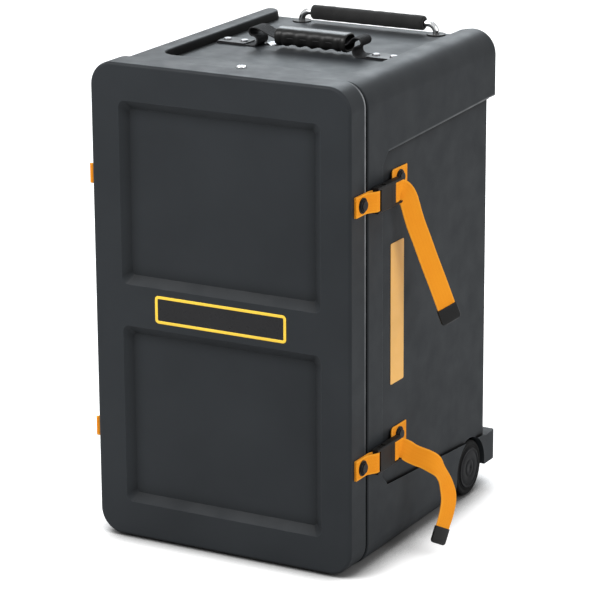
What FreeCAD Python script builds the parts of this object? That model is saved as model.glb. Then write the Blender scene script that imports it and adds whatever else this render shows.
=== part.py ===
"""Hard case for a box drum, in millimetres.

The case stands on its flat base with its lift-off lid towards -Y, +X to the
right and +Z up. The origin is the bottom centre of the whole case. Depths are
counted backwards from the front face of the lid, so y = front_y + depth.
"""
import FreeCAD, Part
import math
import os

Vec = FreeCAD.Vector
os.makedirs("parts", exist_ok=True)

# Lid shell
LID_WIDTH = 352.0
LID_HEIGHT = 597.0
LID_LIFT = 3.0
LID_DEPTH = 38.0
LID_WALL = 5.0
LID_CORNER = 30.0
LID_EDGE = 4.0
PANEL_WIDTH = 274.0
PANEL_MARGIN = 45.0
PANEL_SPACE = 52.0
PANEL_DEPTH = 8.0
PANEL_BEVEL = 11.0
PANEL_CORNER = 9.0

# Badge plate and side label, both blank
BADGE_WIDTH = 181.0
BADGE_HEIGHT = 35.0
BADGE_THICK = 1.2
BADGE_PROUD = 0.4
BADGE_CORNER = 5.0
LABEL_WIDTH = 34.0
LABEL_HEIGHT = 176.0
LABEL_THICK = 0.6
LABEL_DEPTH = 110.0
LABEL_CORNER = 2.0

# Body shell
BODY_INSET = 1.5
BODY_DEPTH = 325.0
BODY_WALL = 5.0
BODY_CORNER = 30.0
BODY_EDGE = 3.0
CAVITY_CORNER = 25.0
SIDE_SINK = 3.0

# Joint between lid and body
SEAM_GAP = 0.3
NECK_LENGTH = 8.0
NECK_STEP = 3.0
TONGUE_LENGTH = 8.0
TONGUE_GAP = 1.0
TONGUE_WALL = 4.0

# Bands that frame the sunk sides, and the blocks behind them
FRONT_BAND = 38.0
TOP_BAND_FRONT = 91.0
TOP_BAND_REAR = 82.0
TOP_BAND_REACH = 22.0
LOW_BAND_FRONT = 91.0
LOW_BAND_REAR = 70.0
BAND_ROUND = 14.0
REAR_BLOCK_REACH = 30.0
REAR_BLOCK_LIFT = 31.0
REAR_EDGE = 5.0

# Sunk top between the two side rails
RAIL_WIDTH = 43.5
FRONT_RIM = 36.0
TOP_SINK = 11.0
TOP_DRAFT = 2.0
TOP_CORNER = 24.0
RAIL_END_ROUND = 20.0
RAIL_EDGE = 3.0

# Wheels and their axle
WHEEL_RADIUS = 36.0
WHEEL_WIDTH = 32.0
WHEEL_INSET = 3.0
WHEEL_DEPTH = 331.0
WHEEL_FLOOR_GAP = 2.0
TYRE_THICK = 9.0
TYRE_CROWN = 4.0
HUB_SINK = 5.0
HUB_RIM = 4.0
HUB_BOSS_RADIUS = 12.0
HUB_HOLE_RADIUS = 4.0
HUB_HOLE_COUNT = 6
BUSH_WALL = 3.0
BUSH_FLANGE = 2.5
BUSH_FLANGE_THICK = 1.5
AXLE_RADIUS = 4.0
AXLE_FIT = 0.05
AXLE_CAP_RADIUS = 8.0
AXLE_CAP_LENGTH = 3.6
AXLE_CAP_GAP = 0.4
WELL_GAP = 4.0
WELL_SIDE_GAP = 2.5
WELL_WALL = 5.0
AXLE_CHANNEL = 8.0

# Foam lining
PAD_THICK = 10.0
TOP_PAD_THICK = 8.0
LID_PAD_THICK = 8.0
LID_PAD_INSET = 6.0
BASE_PAD_TOP = 86.0
PAD_GAP = 0.3

# Rim rivet and the vent plug of the sunk top
RIM_RIVET_RADIUS = 6.5
RIM_RIVET_HEAD = 2.2
RIM_RIVET_SHANK = 2.4
RIM_RIVET_DEPTH = 57.0
PLUG_RADIUS = 10.3
PLUG_HEAD = 1.8
PLUG_STEM_RADIUS = 5.0
PLUG_X = -57.0
PLUG_BEHIND = 13.0

# Carry handle: a grip on one strap that is folded in an S at each end
HANDLE_DEPTH = 225.0
HANDLE_STRAP_WIDTH = 28.0
HANDLE_STRAP_THICK = 1.6
GRIP_LENGTH = 98.0
GRIP_RADIUS = 12.0
GRIP_SHIFT = 7.0
GRIP_FLOOR_GAP = 2.8
GRIP_END_ROUND = 3.5
GRIP_SLOT_GAP = 0.2
GRIP_WALL = 1.0
GRIP_FLANGE_THICK = 12.0
GRIP_FLANGE_ROUND = 5.8
GRIP_GROOVES = 4
GROOVE_PITCH = 18.0
GROOVE_RADIUS = 14.0
GROOVE_CUT = 2.0
NECK_FLAT = 1.5
UPPER_FOLD = 5.0
LOWER_FOLD = 6.5
FOLD_REACH = 73.0
HANDLE_STRAP_END = 124.0
HANDLE_RIVET_FIRST = 92.0
HANDLE_RIVET_PITCH = 24.0
HANDLE_PLATE_START = 84.0
HANDLE_PLATE_THICK = 1.5
HANDLE_PLATE_CORNER = 3.0
HANDLE_RIVET_RADIUS = 5.0
HANDLE_RIVET_HEAD = 2.0
HANDLE_RIVET_SHANK = 2.4

# Pull handle: a bent rod with a foam grip, its feet and guide tubes
ROD_RADIUS = 4.0
ROD_INSET = 35.0
ROD_BEND = 11.0
ROD_DEPTH = 380.3
ROD_TOP_GAP = 1.0
ROD_REACH = 391.0
FOAM_LENGTH = 159.0
FOAM_RADIUS = 9.5
FOAM_END_ROUND = 1.0
FOOT_LENGTH = 16.0
TUBE_RADIUS = 7.0
TUBE_WALL = 1.5
TUBE_FIT = 0.1
TUBE_SEAT = 28.0
FOOT_GAP = 0.08
BEZEL_RADIUS = 12.0
BEZEL_THICK = 1.5
BEZEL_SLEEVE = 12.0
BEZEL_GAP = 0.08
CLAMP_HEIGHT = 16.0
CLAMP_THICK = 2.0
CLAMP_WING = 14.0
CLAMP_RIVET_RADIUS = 3.5
CLAMP_RIVET_HEAD = 1.6
CLAMP_RIVET_SHANK = 1.6

# Four closing straps: the upper pair is placed from the top, the lower from the floor
STRAP_HIGH_DROP = 142.0
STRAP_LOW_Z = 136.0
STRAP_WIDTH = 25.0
STRAP_THICK = 1.6
STRAP_SKIN_GAP = 0.1
TAB_START = 9.0
TAB_BOLT_DEPTH = 24.0
ANCHOR_END = 150.0
ANCHOR_BOLT_DEPTH = 131.0
ANCHOR_RISE = 9.5
ANCHOR_FLAT = 6.5
BOLT_WASHER_RADIUS = 9.5
BOLT_WASHER_THICK = 1.2
BOLT_HEAD_RADIUS = 6.0
BOLT_HEAD_HEIGHT = 3.0
BOLT_SHANK_RADIUS = 2.5
BOLT_NUT_RADIUS = 5.0
BOLT_NUT_HEIGHT = 3.0

# Side-release buckle, counted outwards from the side of the lid
BUCKLE_START = 49.0
BUCKLE_LIFT = 1.6
BUCKLE_THICK = 10.0
BUCKLE_WIDTH = 31.0
BUCKLE_ROUND = 2.0
SOCKET_LENGTH = 33.0
SOCKET_BAR = 3.0
SOCKET_SLOT = 3.6
SOCKET_BRIDGE = 2.0
SOCKET_WALL = 3.0
SOCKET_SKIN = 2.1
TAB_RAMP_INNER = 3.6
TAB_RAMP_OUTER = 14.4
WINDOW_START = 11.0
WINDOW_LENGTH = 12.0
PLUG_GAP = 0.3
PLUG_BLOCK = 10.0
LADDER_SLOT = 4.0
LADDER_BAR = 6.6
LADDER_BAR_THICK = 5.0
LADDER_END_BAR = 3.0
LADDER_END_SINK = 2.2
LADDER_END_THICK = 3.0
LADDER_TURN = 0.3
PRONG_PIVOT = 2.4
PRONG_PIVOT_RADIUS = 1.6
PRONG_FIT = 0.06
PRONG_OFFSET = 9.4
PRONG_ARM = 2.6
PRONG_THICK = 4.8
PRONG_NOSE = 22.0
BULGE_START = 10.7
BULGE_LENGTH = 10.4
BULGE_SINK = 0.8
PRONG_NOTCH = 0.6
SPINE_WIDTH = 3.0
SPINE_LENGTH = 18.0

# Loose strap ends: shares of TAIL_LENGTH outwards, backwards and upwards
TAIL_LENGTH = 150.0
TIP_LENGTH = 15.0
TIP_SKIN = 0.9
HIGH_TAIL_SHARES = (
    (0.000, 0.000, 0.000),
    (0.033, 0.037, -0.007),
    (0.063, 0.063, -0.073),
    (0.097, 0.080, -0.187),
    (0.133, 0.103, -0.360),
    (0.177, 0.150, -0.573),
    (0.233, 0.210, -0.787),
    (0.290, 0.270, -1.007),
)
HIGH_WIDTH_SHARES = (
    (0.00, 0.00, 1.00),
    (0.00, 0.00, 1.00),
    (0.40, 0.55, 0.73),
    (0.55, 0.72, 0.42),
    (0.55, 0.76, 0.34),
    (0.55, 0.76, 0.34),
    (0.55, 0.76, 0.34),
    (0.55, 0.76, 0.34),
)
LOW_TAIL_SHARES = (
    (0.000, 0.000, 0.000),
    (0.063, 0.085, -0.030),
    (0.137, 0.146, -0.095),
    (0.217, 0.206, -0.165),
    (0.277, 0.244, -0.280),
    (0.310, 0.240, -0.413),
    (0.330, 0.175, -0.535),
    (0.330, 0.115, -0.645),
    (0.320, 0.084, -0.760),
)
LOW_WIDTH_SHARES = (
    (0.00, 0.00, 1.00),
    (0.00, 0.02, 1.00),
    (0.06, 0.12, 0.99),
    (0.30, 0.42, 0.86),
    (0.50, 0.66, 0.56),
    (0.30, 0.93, 0.20),
    (0.10, 0.95, -0.30),
    (0.05, 0.90, -0.42),
    (0.05, 0.95, -0.30),
)

# Shared by all cuts, heads, folds and edge searches
OVERRUN = 20.0
EDGE_TOLERANCE = 0.03
HEAD_ROUND_SHARE = 0.8
FOLD_STEPS = 10

# Places that follow from the sizes
body_front = LID_DEPTH + SEAM_GAP + NECK_LENGTH
body_rear = body_front + BODY_DEPTH
case_rear = body_rear + REAR_BLOCK_REACH
front_y = -(case_rear - BADGE_PROUD) / 2
lid_half = LID_WIDTH / 2
body_half = lid_half - BODY_INSET
lid_top = LID_LIFT + LID_HEIGHT
middle_z = LID_LIFT + LID_HEIGHT / 2
body_height = LID_HEIGHT
side_half = body_half - SIDE_SINK
cavity_half = side_half - BODY_WALL
top_floor = body_height - TOP_SINK
cavity_top = top_floor - BODY_WALL
cavity_rear = body_rear - BODY_WALL
rim_depth = body_front + FRONT_RIM
wheel_z = WHEEL_RADIUS + WHEEL_FLOOR_GAP
wheel_outer = body_half - WHEEL_INSET
wheel_inner = wheel_outer - WHEEL_WIDTH
well_inner = wheel_inner - WELL_SIDE_GAP
well_radius = WHEEL_RADIUS + WELL_GAP
hub_radius = WHEEL_RADIUS - TYRE_THICK
bush_radius = AXLE_RADIUS + AXLE_FIT + BUSH_WALL
plug_depth = HANDLE_DEPTH + PLUG_BEHIND
grip_level = top_floor + GRIP_FLOOR_GAP + GRIP_RADIUS
rod_x = body_half - RAIL_WIDTH - ROD_INSET
rod_low_z = body_height - ROD_REACH
bezel_top = top_floor + BEZEL_THICK
rod_top_z = bezel_top + ROD_TOP_GAP + ROD_BEND
tube_bore = TUBE_RADIUS - TUBE_WALL
tube_low = LOW_BAND_REAR - TUBE_SEAT
sides = (("left", -1), ("right", 1))
strap_rows = (("high", lid_top - STRAP_HIGH_DROP), ("low", STRAP_LOW_Z))


def y_at(depth):
    """The y of a depth counted backwards from the front face of the lid."""
    return front_y + depth


def box(x0, x1, y0, y1, z0, z1):
    """A box between two corners, given in any order."""
    low = Vec(min(x0, x1), min(y0, y1), min(z0, z1))
    return Part.makeBox(abs(x1 - x0), abs(y1 - y0), abs(z1 - z0), low)


def cyl_x(radius, x0, x1, y, z):
    return Part.makeCylinder(radius, abs(x1 - x0), Vec(min(x0, x1), y, z), Vec(1, 0, 0))


def cyl_y(radius, y0, y1, x, z):
    return Part.makeCylinder(radius, abs(y1 - y0), Vec(x, min(y0, y1), z), Vec(0, 1, 0))


def cyl_z(radius, z0, z1, x, y):
    return Part.makeCylinder(radius, abs(z1 - z0), Vec(x, y, min(z0, z1)), Vec(0, 0, 1))


def rounded_outline(half, z0, z1, radius, y):
    """A closed rounded rectangle, centred in x, in the plane of one y."""
    corners = (
        (half - radius, z1 - radius, 0),
        (-(half - radius), z1 - radius, 90),
        (-(half - radius), z0 + radius, 180),
        (half - radius, z0 + radius, 270),
    )
    edges = []
    ends = []
    for cx, cz, start in corners:
        points = []
        for turn in (0, 45, 90):
            angle = math.radians(start + turn)
            points.append(Vec(cx + radius * math.cos(angle), y, cz + radius * math.sin(angle)))
        ends.append((points[0], points[2]))
        edges.append(Part.Arc(*points).toShape())
    for index in range(len(ends)):
        leave = ends[index][1]
        arrive = ends[(index + 1) % len(ends)][0]
        if leave.distanceToPoint(arrive) > 0:
            edges.append(Part.LineSegment(leave, arrive).toShape())
    return Part.Wire(Part.__sortEdges__(edges))


def rounded_prism(half, z0, z1, radius, depth0, depth1):
    """A rounded rectangle run backwards from one depth to another."""
    wire = rounded_outline(half, z0, z1, radius, y_at(depth0))
    return Part.Face(wire).extrude(Vec(0, depth1 - depth0, 0))


def tapered_block(half, z0, z1, radius, depth0, depth1, inset):
    """A rounded block that narrows by inset on each side towards depth1."""
    near = rounded_outline(half, z0, z1, radius, y_at(depth0))
    small = max(radius - inset, radius / 2)
    far = rounded_outline(half - inset, z0 + inset, z1 - inset, small, y_at(depth1))
    return Part.makeLoft([near, far], True, True)


def flat_prism(points, x0, x1):
    """A closed outline of (y, z) points run along x."""
    wire = Part.makePolygon([Vec(x0, y, z) for y, z in points + [points[0]]])
    return Part.Face(wire).extrude(Vec(x1 - x0, 0, 0))


def round_edges(shape, radius, wanted):
    """Fillet the edges for which wanted(edge) is true."""
    edges = [edge for edge in shape.Edges if wanted(edge)]
    return shape.makeFillet(radius, edges)


def at_depth(depth):
    """A test for edges that lie wholly at one depth."""
    place = y_at(depth)
    return lambda e: max(
        abs(e.BoundBox.YMin - place), abs(e.BoundBox.YMax - place)) < EDGE_TOLERANCE


def lies_on(solid, low):
    """A test for edges above one level that lie on the surface of a solid."""
    skin = solid.Shells[0]

    def wanted(edge):
        if edge.BoundBox.ZMin < low + EDGE_TOLERANCE:
            return False
        first, last = edge.FirstParameter, edge.LastParameter
        return all(
            skin.distToShape(Part.Vertex(edge.valueAt(place)))[0] < EDGE_TOLERANCE
            for place in (first, (first + last) / 2, last))

    return wanted


def mirrored(shape, side):
    """The shape itself for the right side, its mirror image for the left."""
    if side > 0:
        return shape
    return shape.mirror(Vec(0, 0, 0), Vec(1, 0, 0))


def joined(shapes):
    """One shape fused from several."""
    return shapes[0].multiFuse(shapes[1:]).removeSplitter()


def save(name, shape):
    shape.exportStep("parts/" + name + ".step")
    print(name, len(shape.Solids), round(shape.Volume), shape.isValid())


def save_group(name, shapes):
    save(name, Part.makeCompound(shapes))


def ribbon_sides(path, thickness):
    """Both faces of a flat strap seen on edge, offset from its middle line."""
    half = thickness / 2
    left = []
    right = []
    for index, here in enumerate(path):
        before = path[max(index - 1, 0)]
        after = path[min(index + 1, len(path) - 1)]
        first = Vec(here[0] - before[0], here[1] - before[1], 0)
        second = Vec(after[0] - here[0], after[1] - here[1], 0)
        if first.Length == 0:
            first = second
        if second.Length == 0:
            second = first
        first.normalize()
        second.normalize()
        middle = first + second
        middle.normalize()
        reach = half / max(middle.dot(first), 0.5)
        normal = Vec(-middle.y, middle.x, 0) * reach
        left.append((here[0] + normal.x, here[1] + normal.y))
        right.append((here[0] - normal.x, here[1] - normal.y))
    return left, right


def ribbon_outline(path, thickness):
    """The closed outline of a flat strap seen on edge."""
    left, right = ribbon_sides(path, thickness)
    return left + right[::-1]


def fold_points(cx, cy, radius, start, end):
    """Points on an arc, for a strap's folds."""
    points = []
    for step in range(FOLD_STEPS + 1):
        angle = math.radians(start + (end - start) * step / FOLD_STEPS)
        points.append((cx + radius * math.cos(angle), cy + radius * math.sin(angle)))
    return points


def body_outer():
    """The outside of the body before anything is hollowed or sunk."""
    outer = rounded_prism(body_half, 0, body_height, BODY_CORNER, body_front, body_rear)
    outer = round_edges(outer, BODY_EDGE, at_depth(body_front))
    reach = body_rear + TOP_BAND_REACH
    top = rounded_prism(body_half, 0, body_height, BODY_CORNER, body_rear - BODY_WALL, reach)
    top = round_edges(top, REAR_EDGE, at_depth(reach))
    top = top.common(box(
        -lid_half, lid_half, y_at(body_front), y_at(reach + OVERRUN),
        body_height - TOP_BAND_REAR, body_height))
    low = rounded_prism(body_half, 0, body_height, BODY_CORNER, body_rear - BODY_WALL, case_rear)
    low = round_edges(low, REAR_EDGE, at_depth(case_rear))
    low = low.common(box(
        -lid_half, lid_half, y_at(body_front), y_at(case_rear + OVERRUN),
        REAR_BLOCK_LIFT, LOW_BAND_REAR))
    neck = rounded_prism(
        body_half - NECK_STEP, LID_LIFT + NECK_STEP, body_height - NECK_STEP,
        BODY_CORNER - NECK_STEP, LID_DEPTH + SEAM_GAP, body_front + NECK_STEP)
    tongue_half = lid_half - LID_WALL - TONGUE_GAP
    tongue = rounded_prism(
        tongue_half, LID_LIFT + LID_WALL + TONGUE_GAP, lid_top - LID_WALL - TONGUE_GAP,
        LID_CORNER - LID_WALL, LID_DEPTH + SEAM_GAP - TONGUE_LENGTH, body_front)
    return joined([outer, top, low, neck, tongue])


def side_sink(side):
    """The sunk side panel: its edges lean a little, and its front corners are cut."""
    front = y_at(body_front + FRONT_BAND)
    rear = y_at(body_rear + OVERRUN)
    low = LOW_BAND_FRONT
    high = body_height - TOP_BAND_FRONT
    points = [
        (front, low + BAND_ROUND), (front + BAND_ROUND, low), (rear, LOW_BAND_REAR),
        (rear, body_height - TOP_BAND_REAR), (front + BAND_ROUND, high),
        (front, high - BAND_ROUND),
    ]
    return flat_prism(points, side * side_half, side * (body_half + OVERRUN))


def top_sink():
    """The sunk top, open at the rear, with leaning walls that flare round the rails' ends."""
    half = body_half - RAIL_WIDTH
    front = y_at(rim_depth)
    end = y_at(body_rear + TOP_BAND_REACH)
    rear = end + OVERRUN
    r = TOP_CORNER
    turn = r * math.sqrt(0.5)
    flare = RAIL_END_ROUND
    bend = flare * (1 - math.sqrt(0.5))
    wires = []
    for level, spread in ((top_floor, -TOP_DRAFT), (top_floor + 2 * TOP_SINK, TOP_DRAFT)):
        x1 = half + spread
        y0 = front - spread
        wide = x1 + flare
        right = Part.Arc(
            Vec(x1 - r, y0, level), Vec(x1 - r + turn, y0 + r - turn, level),
            Vec(x1, y0 + r, level)).toShape()
        left = Part.Arc(
            Vec(-x1, y0 + r, level), Vec(-x1 + r - turn, y0 + r - turn, level),
            Vec(-x1 + r, y0, level)).toShape()
        right_flare = Part.Arc(
            Vec(x1, end - flare, level), Vec(x1 + bend, end - bend, level),
            Vec(wide, end, level)).toShape()
        left_flare = Part.Arc(
            Vec(-wide, end, level), Vec(-x1 - bend, end - bend, level),
            Vec(-x1, end - flare, level)).toShape()
        lines = [
            Part.LineSegment(Vec(x1, y0 + r, level), Vec(x1, end - flare, level)).toShape(),
            Part.LineSegment(Vec(wide, end, level), Vec(wide, rear, level)).toShape(),
            Part.LineSegment(Vec(wide, rear, level), Vec(-wide, rear, level)).toShape(),
            Part.LineSegment(Vec(-wide, rear, level), Vec(-wide, end, level)).toShape(),
            Part.LineSegment(Vec(-x1, end - flare, level), Vec(-x1, y0 + r, level)).toShape(),
            Part.LineSegment(Vec(-x1 + r, y0, level), Vec(x1 - r, y0, level)).toShape(),
        ]
        wires.append(Part.Wire([
            right, lines[0], right_flare, lines[1], lines[2], lines[3], left_flare, lines[4],
            left, lines[5]]))
    return Part.makeLoft(wires, True, True)


def wheel_well(side, grow):
    """The space for one wheel, open to the side, the floor and the rear."""
    inner = side * (well_inner - grow)
    outer = side * (body_half + OVERRUN)
    axis_y = y_at(WHEEL_DEPTH)
    radius = well_radius + grow
    round_part = cyl_x(radius, inner, outer, axis_y, wheel_z)
    low_part = box(inner, outer, axis_y - radius, axis_y + radius, -OVERRUN, wheel_z)
    parts = [round_part, low_part]
    if grow == 0:
        parts.append(box(
            inner, outer, axis_y, y_at(case_rear + OVERRUN), -OVERRUN, REAR_BLOCK_LIFT))
    return joined(parts)


def cavity_prism(depth0, depth1):
    """The rounded section of the body's inside, run between two depths."""
    return rounded_prism(cavity_half, BODY_WALL, cavity_top, CAVITY_CORNER, depth0, depth1)


def body_cavity():
    """The inside of the body, around the walls of the wheel wells."""
    tongue_front = LID_DEPTH + SEAM_GAP - TONGUE_LENGTH
    inset = TONGUE_GAP + TONGUE_WALL + LID_WALL
    mouth = rounded_prism(
        cavity_half, LID_LIFT + inset, lid_top - inset, LID_CORNER - inset,
        tongue_front - OVERRUN, rim_depth - BODY_WALL - TOP_DRAFT)
    cavity = cavity_prism(body_front, cavity_rear).fuse(mouth)
    for _, side in sides:
        cavity = cavity.cut(wheel_well(side, WELL_WALL))
    return cavity


def rod_axis_bore(side, radius, z0, z1):
    """A cylinder on the line of one leg of the pull handle."""
    return cyl_z(radius, z0, z1, side * rod_x, y_at(ROD_DEPTH))


def handle_rivet_places():
    places = []
    for _, side in sides:
        for step in (0, 1):
            places.append(side * (HANDLE_RIVET_FIRST + step * HANDLE_RIVET_PITCH))
    return places


def clamp_rivet_places():
    """The x of the rivets beside each tube."""
    places = []
    for _, side in sides:
        for beside in (-1, 1):
            offset = TUBE_RADIUS + CLAMP_THICK + CLAMP_WING / 2
            places.append(side * rod_x + beside * offset)
    return places


def build_body_shell():
    shell = body_outer()
    for _, side in sides:
        shell = shell.cut(side_sink(side))
        shell = shell.cut(wheel_well(side, 0))
    sink = top_sink()
    shell = round_edges(shell.cut(sink), RAIL_EDGE, lies_on(sink, top_floor))
    shell = shell.cut(body_cavity())
    axis_y = y_at(WHEEL_DEPTH)
    shell = shell.cut(cyl_x(AXLE_RADIUS + AXLE_FIT, -body_half, body_half, axis_y, wheel_z))
    for _, side in sides:
        shell = shell.cut(rod_axis_bore(
            side, TUBE_RADIUS + TUBE_FIT, body_height - TOP_BAND_REAR - OVERRUN, body_height))
        shell = shell.cut(rod_axis_bore(side, TUBE_RADIUS + TUBE_FIT, tube_low, LOW_BAND_REAR))
        for _, height in strap_rows:
            shell = shell.cut(cyl_x(
                BOLT_SHANK_RADIUS + AXLE_FIT, side * (cavity_half - OVERRUN), side * body_half,
                y_at(ANCHOR_BOLT_DEPTH), height + ANCHOR_RISE))
    for x in handle_rivet_places():
        shell = shell.cut(cyl_z(
            HANDLE_RIVET_SHANK, cavity_top, top_floor, x, y_at(HANDLE_DEPTH)))
    for x in clamp_rivet_places():
        shell = shell.cut(cyl_y(
            CLAMP_RIVET_SHANK, y_at(cavity_rear), y_at(body_rear), x, middle_z))
    shell = shell.cut(cyl_z(
        RIM_RIVET_SHANK, cavity_top, body_height, 0, y_at(RIM_RIVET_DEPTH)))
    shell = shell.cut(cyl_z(PLUG_STEM_RADIUS, cavity_top, top_floor, PLUG_X, y_at(plug_depth)))
    save("body_shell", shell)


def build_lining():
    """Foam slabs: a thick base over the wheel wells, the sides, the back and the top."""
    front = body_front + PAD_GAP
    whole = cavity_prism(front, cavity_rear)
    half = cavity_half + OVERRUN
    y0 = y_at(front)
    y1 = y_at(cavity_rear)
    pad_top = cavity_top - TOP_PAD_THICK
    base = whole.common(box(-half, half, y0, y1, 0, BASE_PAD_TOP))
    axis_y = y_at(WHEEL_DEPTH)
    for _, side in sides:
        base = base.cut(wheel_well(side, WELL_WALL + PAD_GAP))
    base = base.cut(box(
        -well_inner, well_inner, axis_y - AXLE_CHANNEL, axis_y + AXLE_CHANNEL,
        0, wheel_z + AXLE_CHANNEL))
    save("base_pad", base)
    save("top_pad", whole.common(box(-half, half, y0, y1, pad_top, cavity_top)))
    inner = cavity_half - PAD_THICK
    back_front = y1 - PAD_THICK
    save("back_pad", box(-inner, inner, back_front, y1, BASE_PAD_TOP, pad_top))
    side_pads = []
    for _, side in sides:
        pad = whole.common(box(side * inner, side * half, y0, y1, BASE_PAD_TOP, pad_top))
        for _, height in strap_rows:
            pad = pad.cut(cyl_x(
                BOLT_NUT_RADIUS + PAD_GAP, side * (cavity_half - BOLT_NUT_HEIGHT - PAD_GAP),
                side * half, y_at(ANCHOR_BOLT_DEPTH), height + ANCHOR_RISE))
        side_pads.append(pad)
    save_group("side_pads", side_pads)
    pad_depth = PANEL_DEPTH + LID_WALL
    pad_half = lid_half - LID_WALL - LID_PAD_INSET
    low = LID_LIFT + LID_WALL + LID_PAD_INSET
    high = lid_top - LID_WALL - LID_PAD_INSET
    pad = rounded_prism(
        pad_half, low, high, LID_CORNER - LID_PAD_INSET, pad_depth, pad_depth + LID_PAD_THICK)
    save("lid_pad", pad)


def panel_levels():
    """The lower and upper z of the two sunk panels of the lid."""
    low = LID_LIFT + PANEL_MARGIN
    high = lid_top - PANEL_MARGIN
    return ((low, middle_z - PANEL_SPACE / 2), (middle_z + PANEL_SPACE / 2, high))


def build_lid():
    lid = rounded_prism(lid_half, LID_LIFT, lid_top, LID_CORNER, 0, LID_DEPTH)
    lid = round_edges(lid, LID_EDGE, at_depth(0))
    inside = rounded_prism(
        lid_half - LID_WALL, LID_LIFT + LID_WALL, lid_top - LID_WALL,
        LID_CORNER - LID_WALL, LID_WALL, LID_DEPTH + OVERRUN)
    half = PANEL_WIDTH / 2
    for z0, z1 in panel_levels():
        inside = inside.cut(rounded_prism(
            half, z0, z1, PANEL_CORNER, 0, PANEL_DEPTH + LID_WALL))
    lid = lid.cut(inside)
    for z0, z1 in panel_levels():
        lid = lid.cut(tapered_block(
            half, z0, z1, PANEL_CORNER, 0, PANEL_DEPTH, PANEL_BEVEL))
    seat = BADGE_THICK - BADGE_PROUD
    lid = lid.cut(rounded_prism(
        BADGE_WIDTH / 2 + PAD_GAP, middle_z - BADGE_HEIGHT / 2 - PAD_GAP,
        middle_z + BADGE_HEIGHT / 2 + PAD_GAP, BADGE_CORNER, 0, seat))
    for _, side in sides:
        for _, height in strap_rows:
            lid = lid.cut(cyl_x(
                BOLT_SHANK_RADIUS + AXLE_FIT, side * (lid_half - LID_WALL - OVERRUN),
                side * lid_half, y_at(TAB_BOLT_DEPTH), height))
    save("lid_shell", lid)
    save("badge_plate", rounded_prism(
        BADGE_WIDTH / 2, middle_z - BADGE_HEIGHT / 2, middle_z + BADGE_HEIGHT / 2,
        BADGE_CORNER, -BADGE_PROUD, seat))


def build_side_label():
    """A blank label strip on the right side, above the sunk panel's surface."""
    y0 = y_at(LABEL_DEPTH)
    z0 = middle_z - LABEL_HEIGHT / 2
    label = box(side_half, side_half + LABEL_THICK, y0, y0 + LABEL_WIDTH, z0, z0 + LABEL_HEIGHT)
    label = round_edges(
        label, LABEL_CORNER,
        lambda e: max(e.BoundBox.YLength, e.BoundBox.ZLength) < EDGE_TOLERANCE)
    save("side_label", label)


def domed_head(radius, height, base):
    """A shallow round head on the plane z = base, rounded at its top edge."""
    head = Part.makeCylinder(radius, height, Vec(0, 0, base))
    top = base + height
    return round_edges(
        head, height * HEAD_ROUND_SHARE,
        lambda e: e.BoundBox.ZMin > top - EDGE_TOLERANCE)


def build_rivet_and_plug():
    head = domed_head(RIM_RIVET_RADIUS, RIM_RIVET_HEAD, body_height)
    shank = cyl_z(RIM_RIVET_SHANK, body_height - BODY_WALL, body_height, 0, 0)
    rivet = joined([head, shank])
    rivet.translate(Vec(0, y_at(RIM_RIVET_DEPTH), 0))
    save("rim_rivet", rivet)
    head = domed_head(PLUG_RADIUS, PLUG_HEAD, top_floor)
    stem = cyl_z(PLUG_STEM_RADIUS, cavity_top, top_floor, 0, 0)
    plug = joined([head, stem])
    plug.translate(Vec(PLUG_X, y_at(plug_depth), 0))
    save("vent_plug", plug)


def handle_half(side):
    """The handle strap's middle line from the grip to its riveted end, as on the right."""
    low = top_floor + HANDLE_STRAP_THICK / 2
    middle = low + 2 * LOWER_FOLD
    high = middle + 2 * UPPER_FOLD
    grip_end = GRIP_LENGTH / 2 + side * GRIP_SHIFT
    path = [(grip_end + NECK_FLAT, grip_level), (FOLD_REACH - UPPER_FOLD, high)]
    path += fold_points(FOLD_REACH, middle + UPPER_FOLD, UPPER_FOLD, 90, -90)
    path += fold_points(FOLD_REACH, low + LOWER_FOLD, LOWER_FOLD, 90, 270)[1:]
    path.append((HANDLE_STRAP_END, low))
    return path


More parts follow.
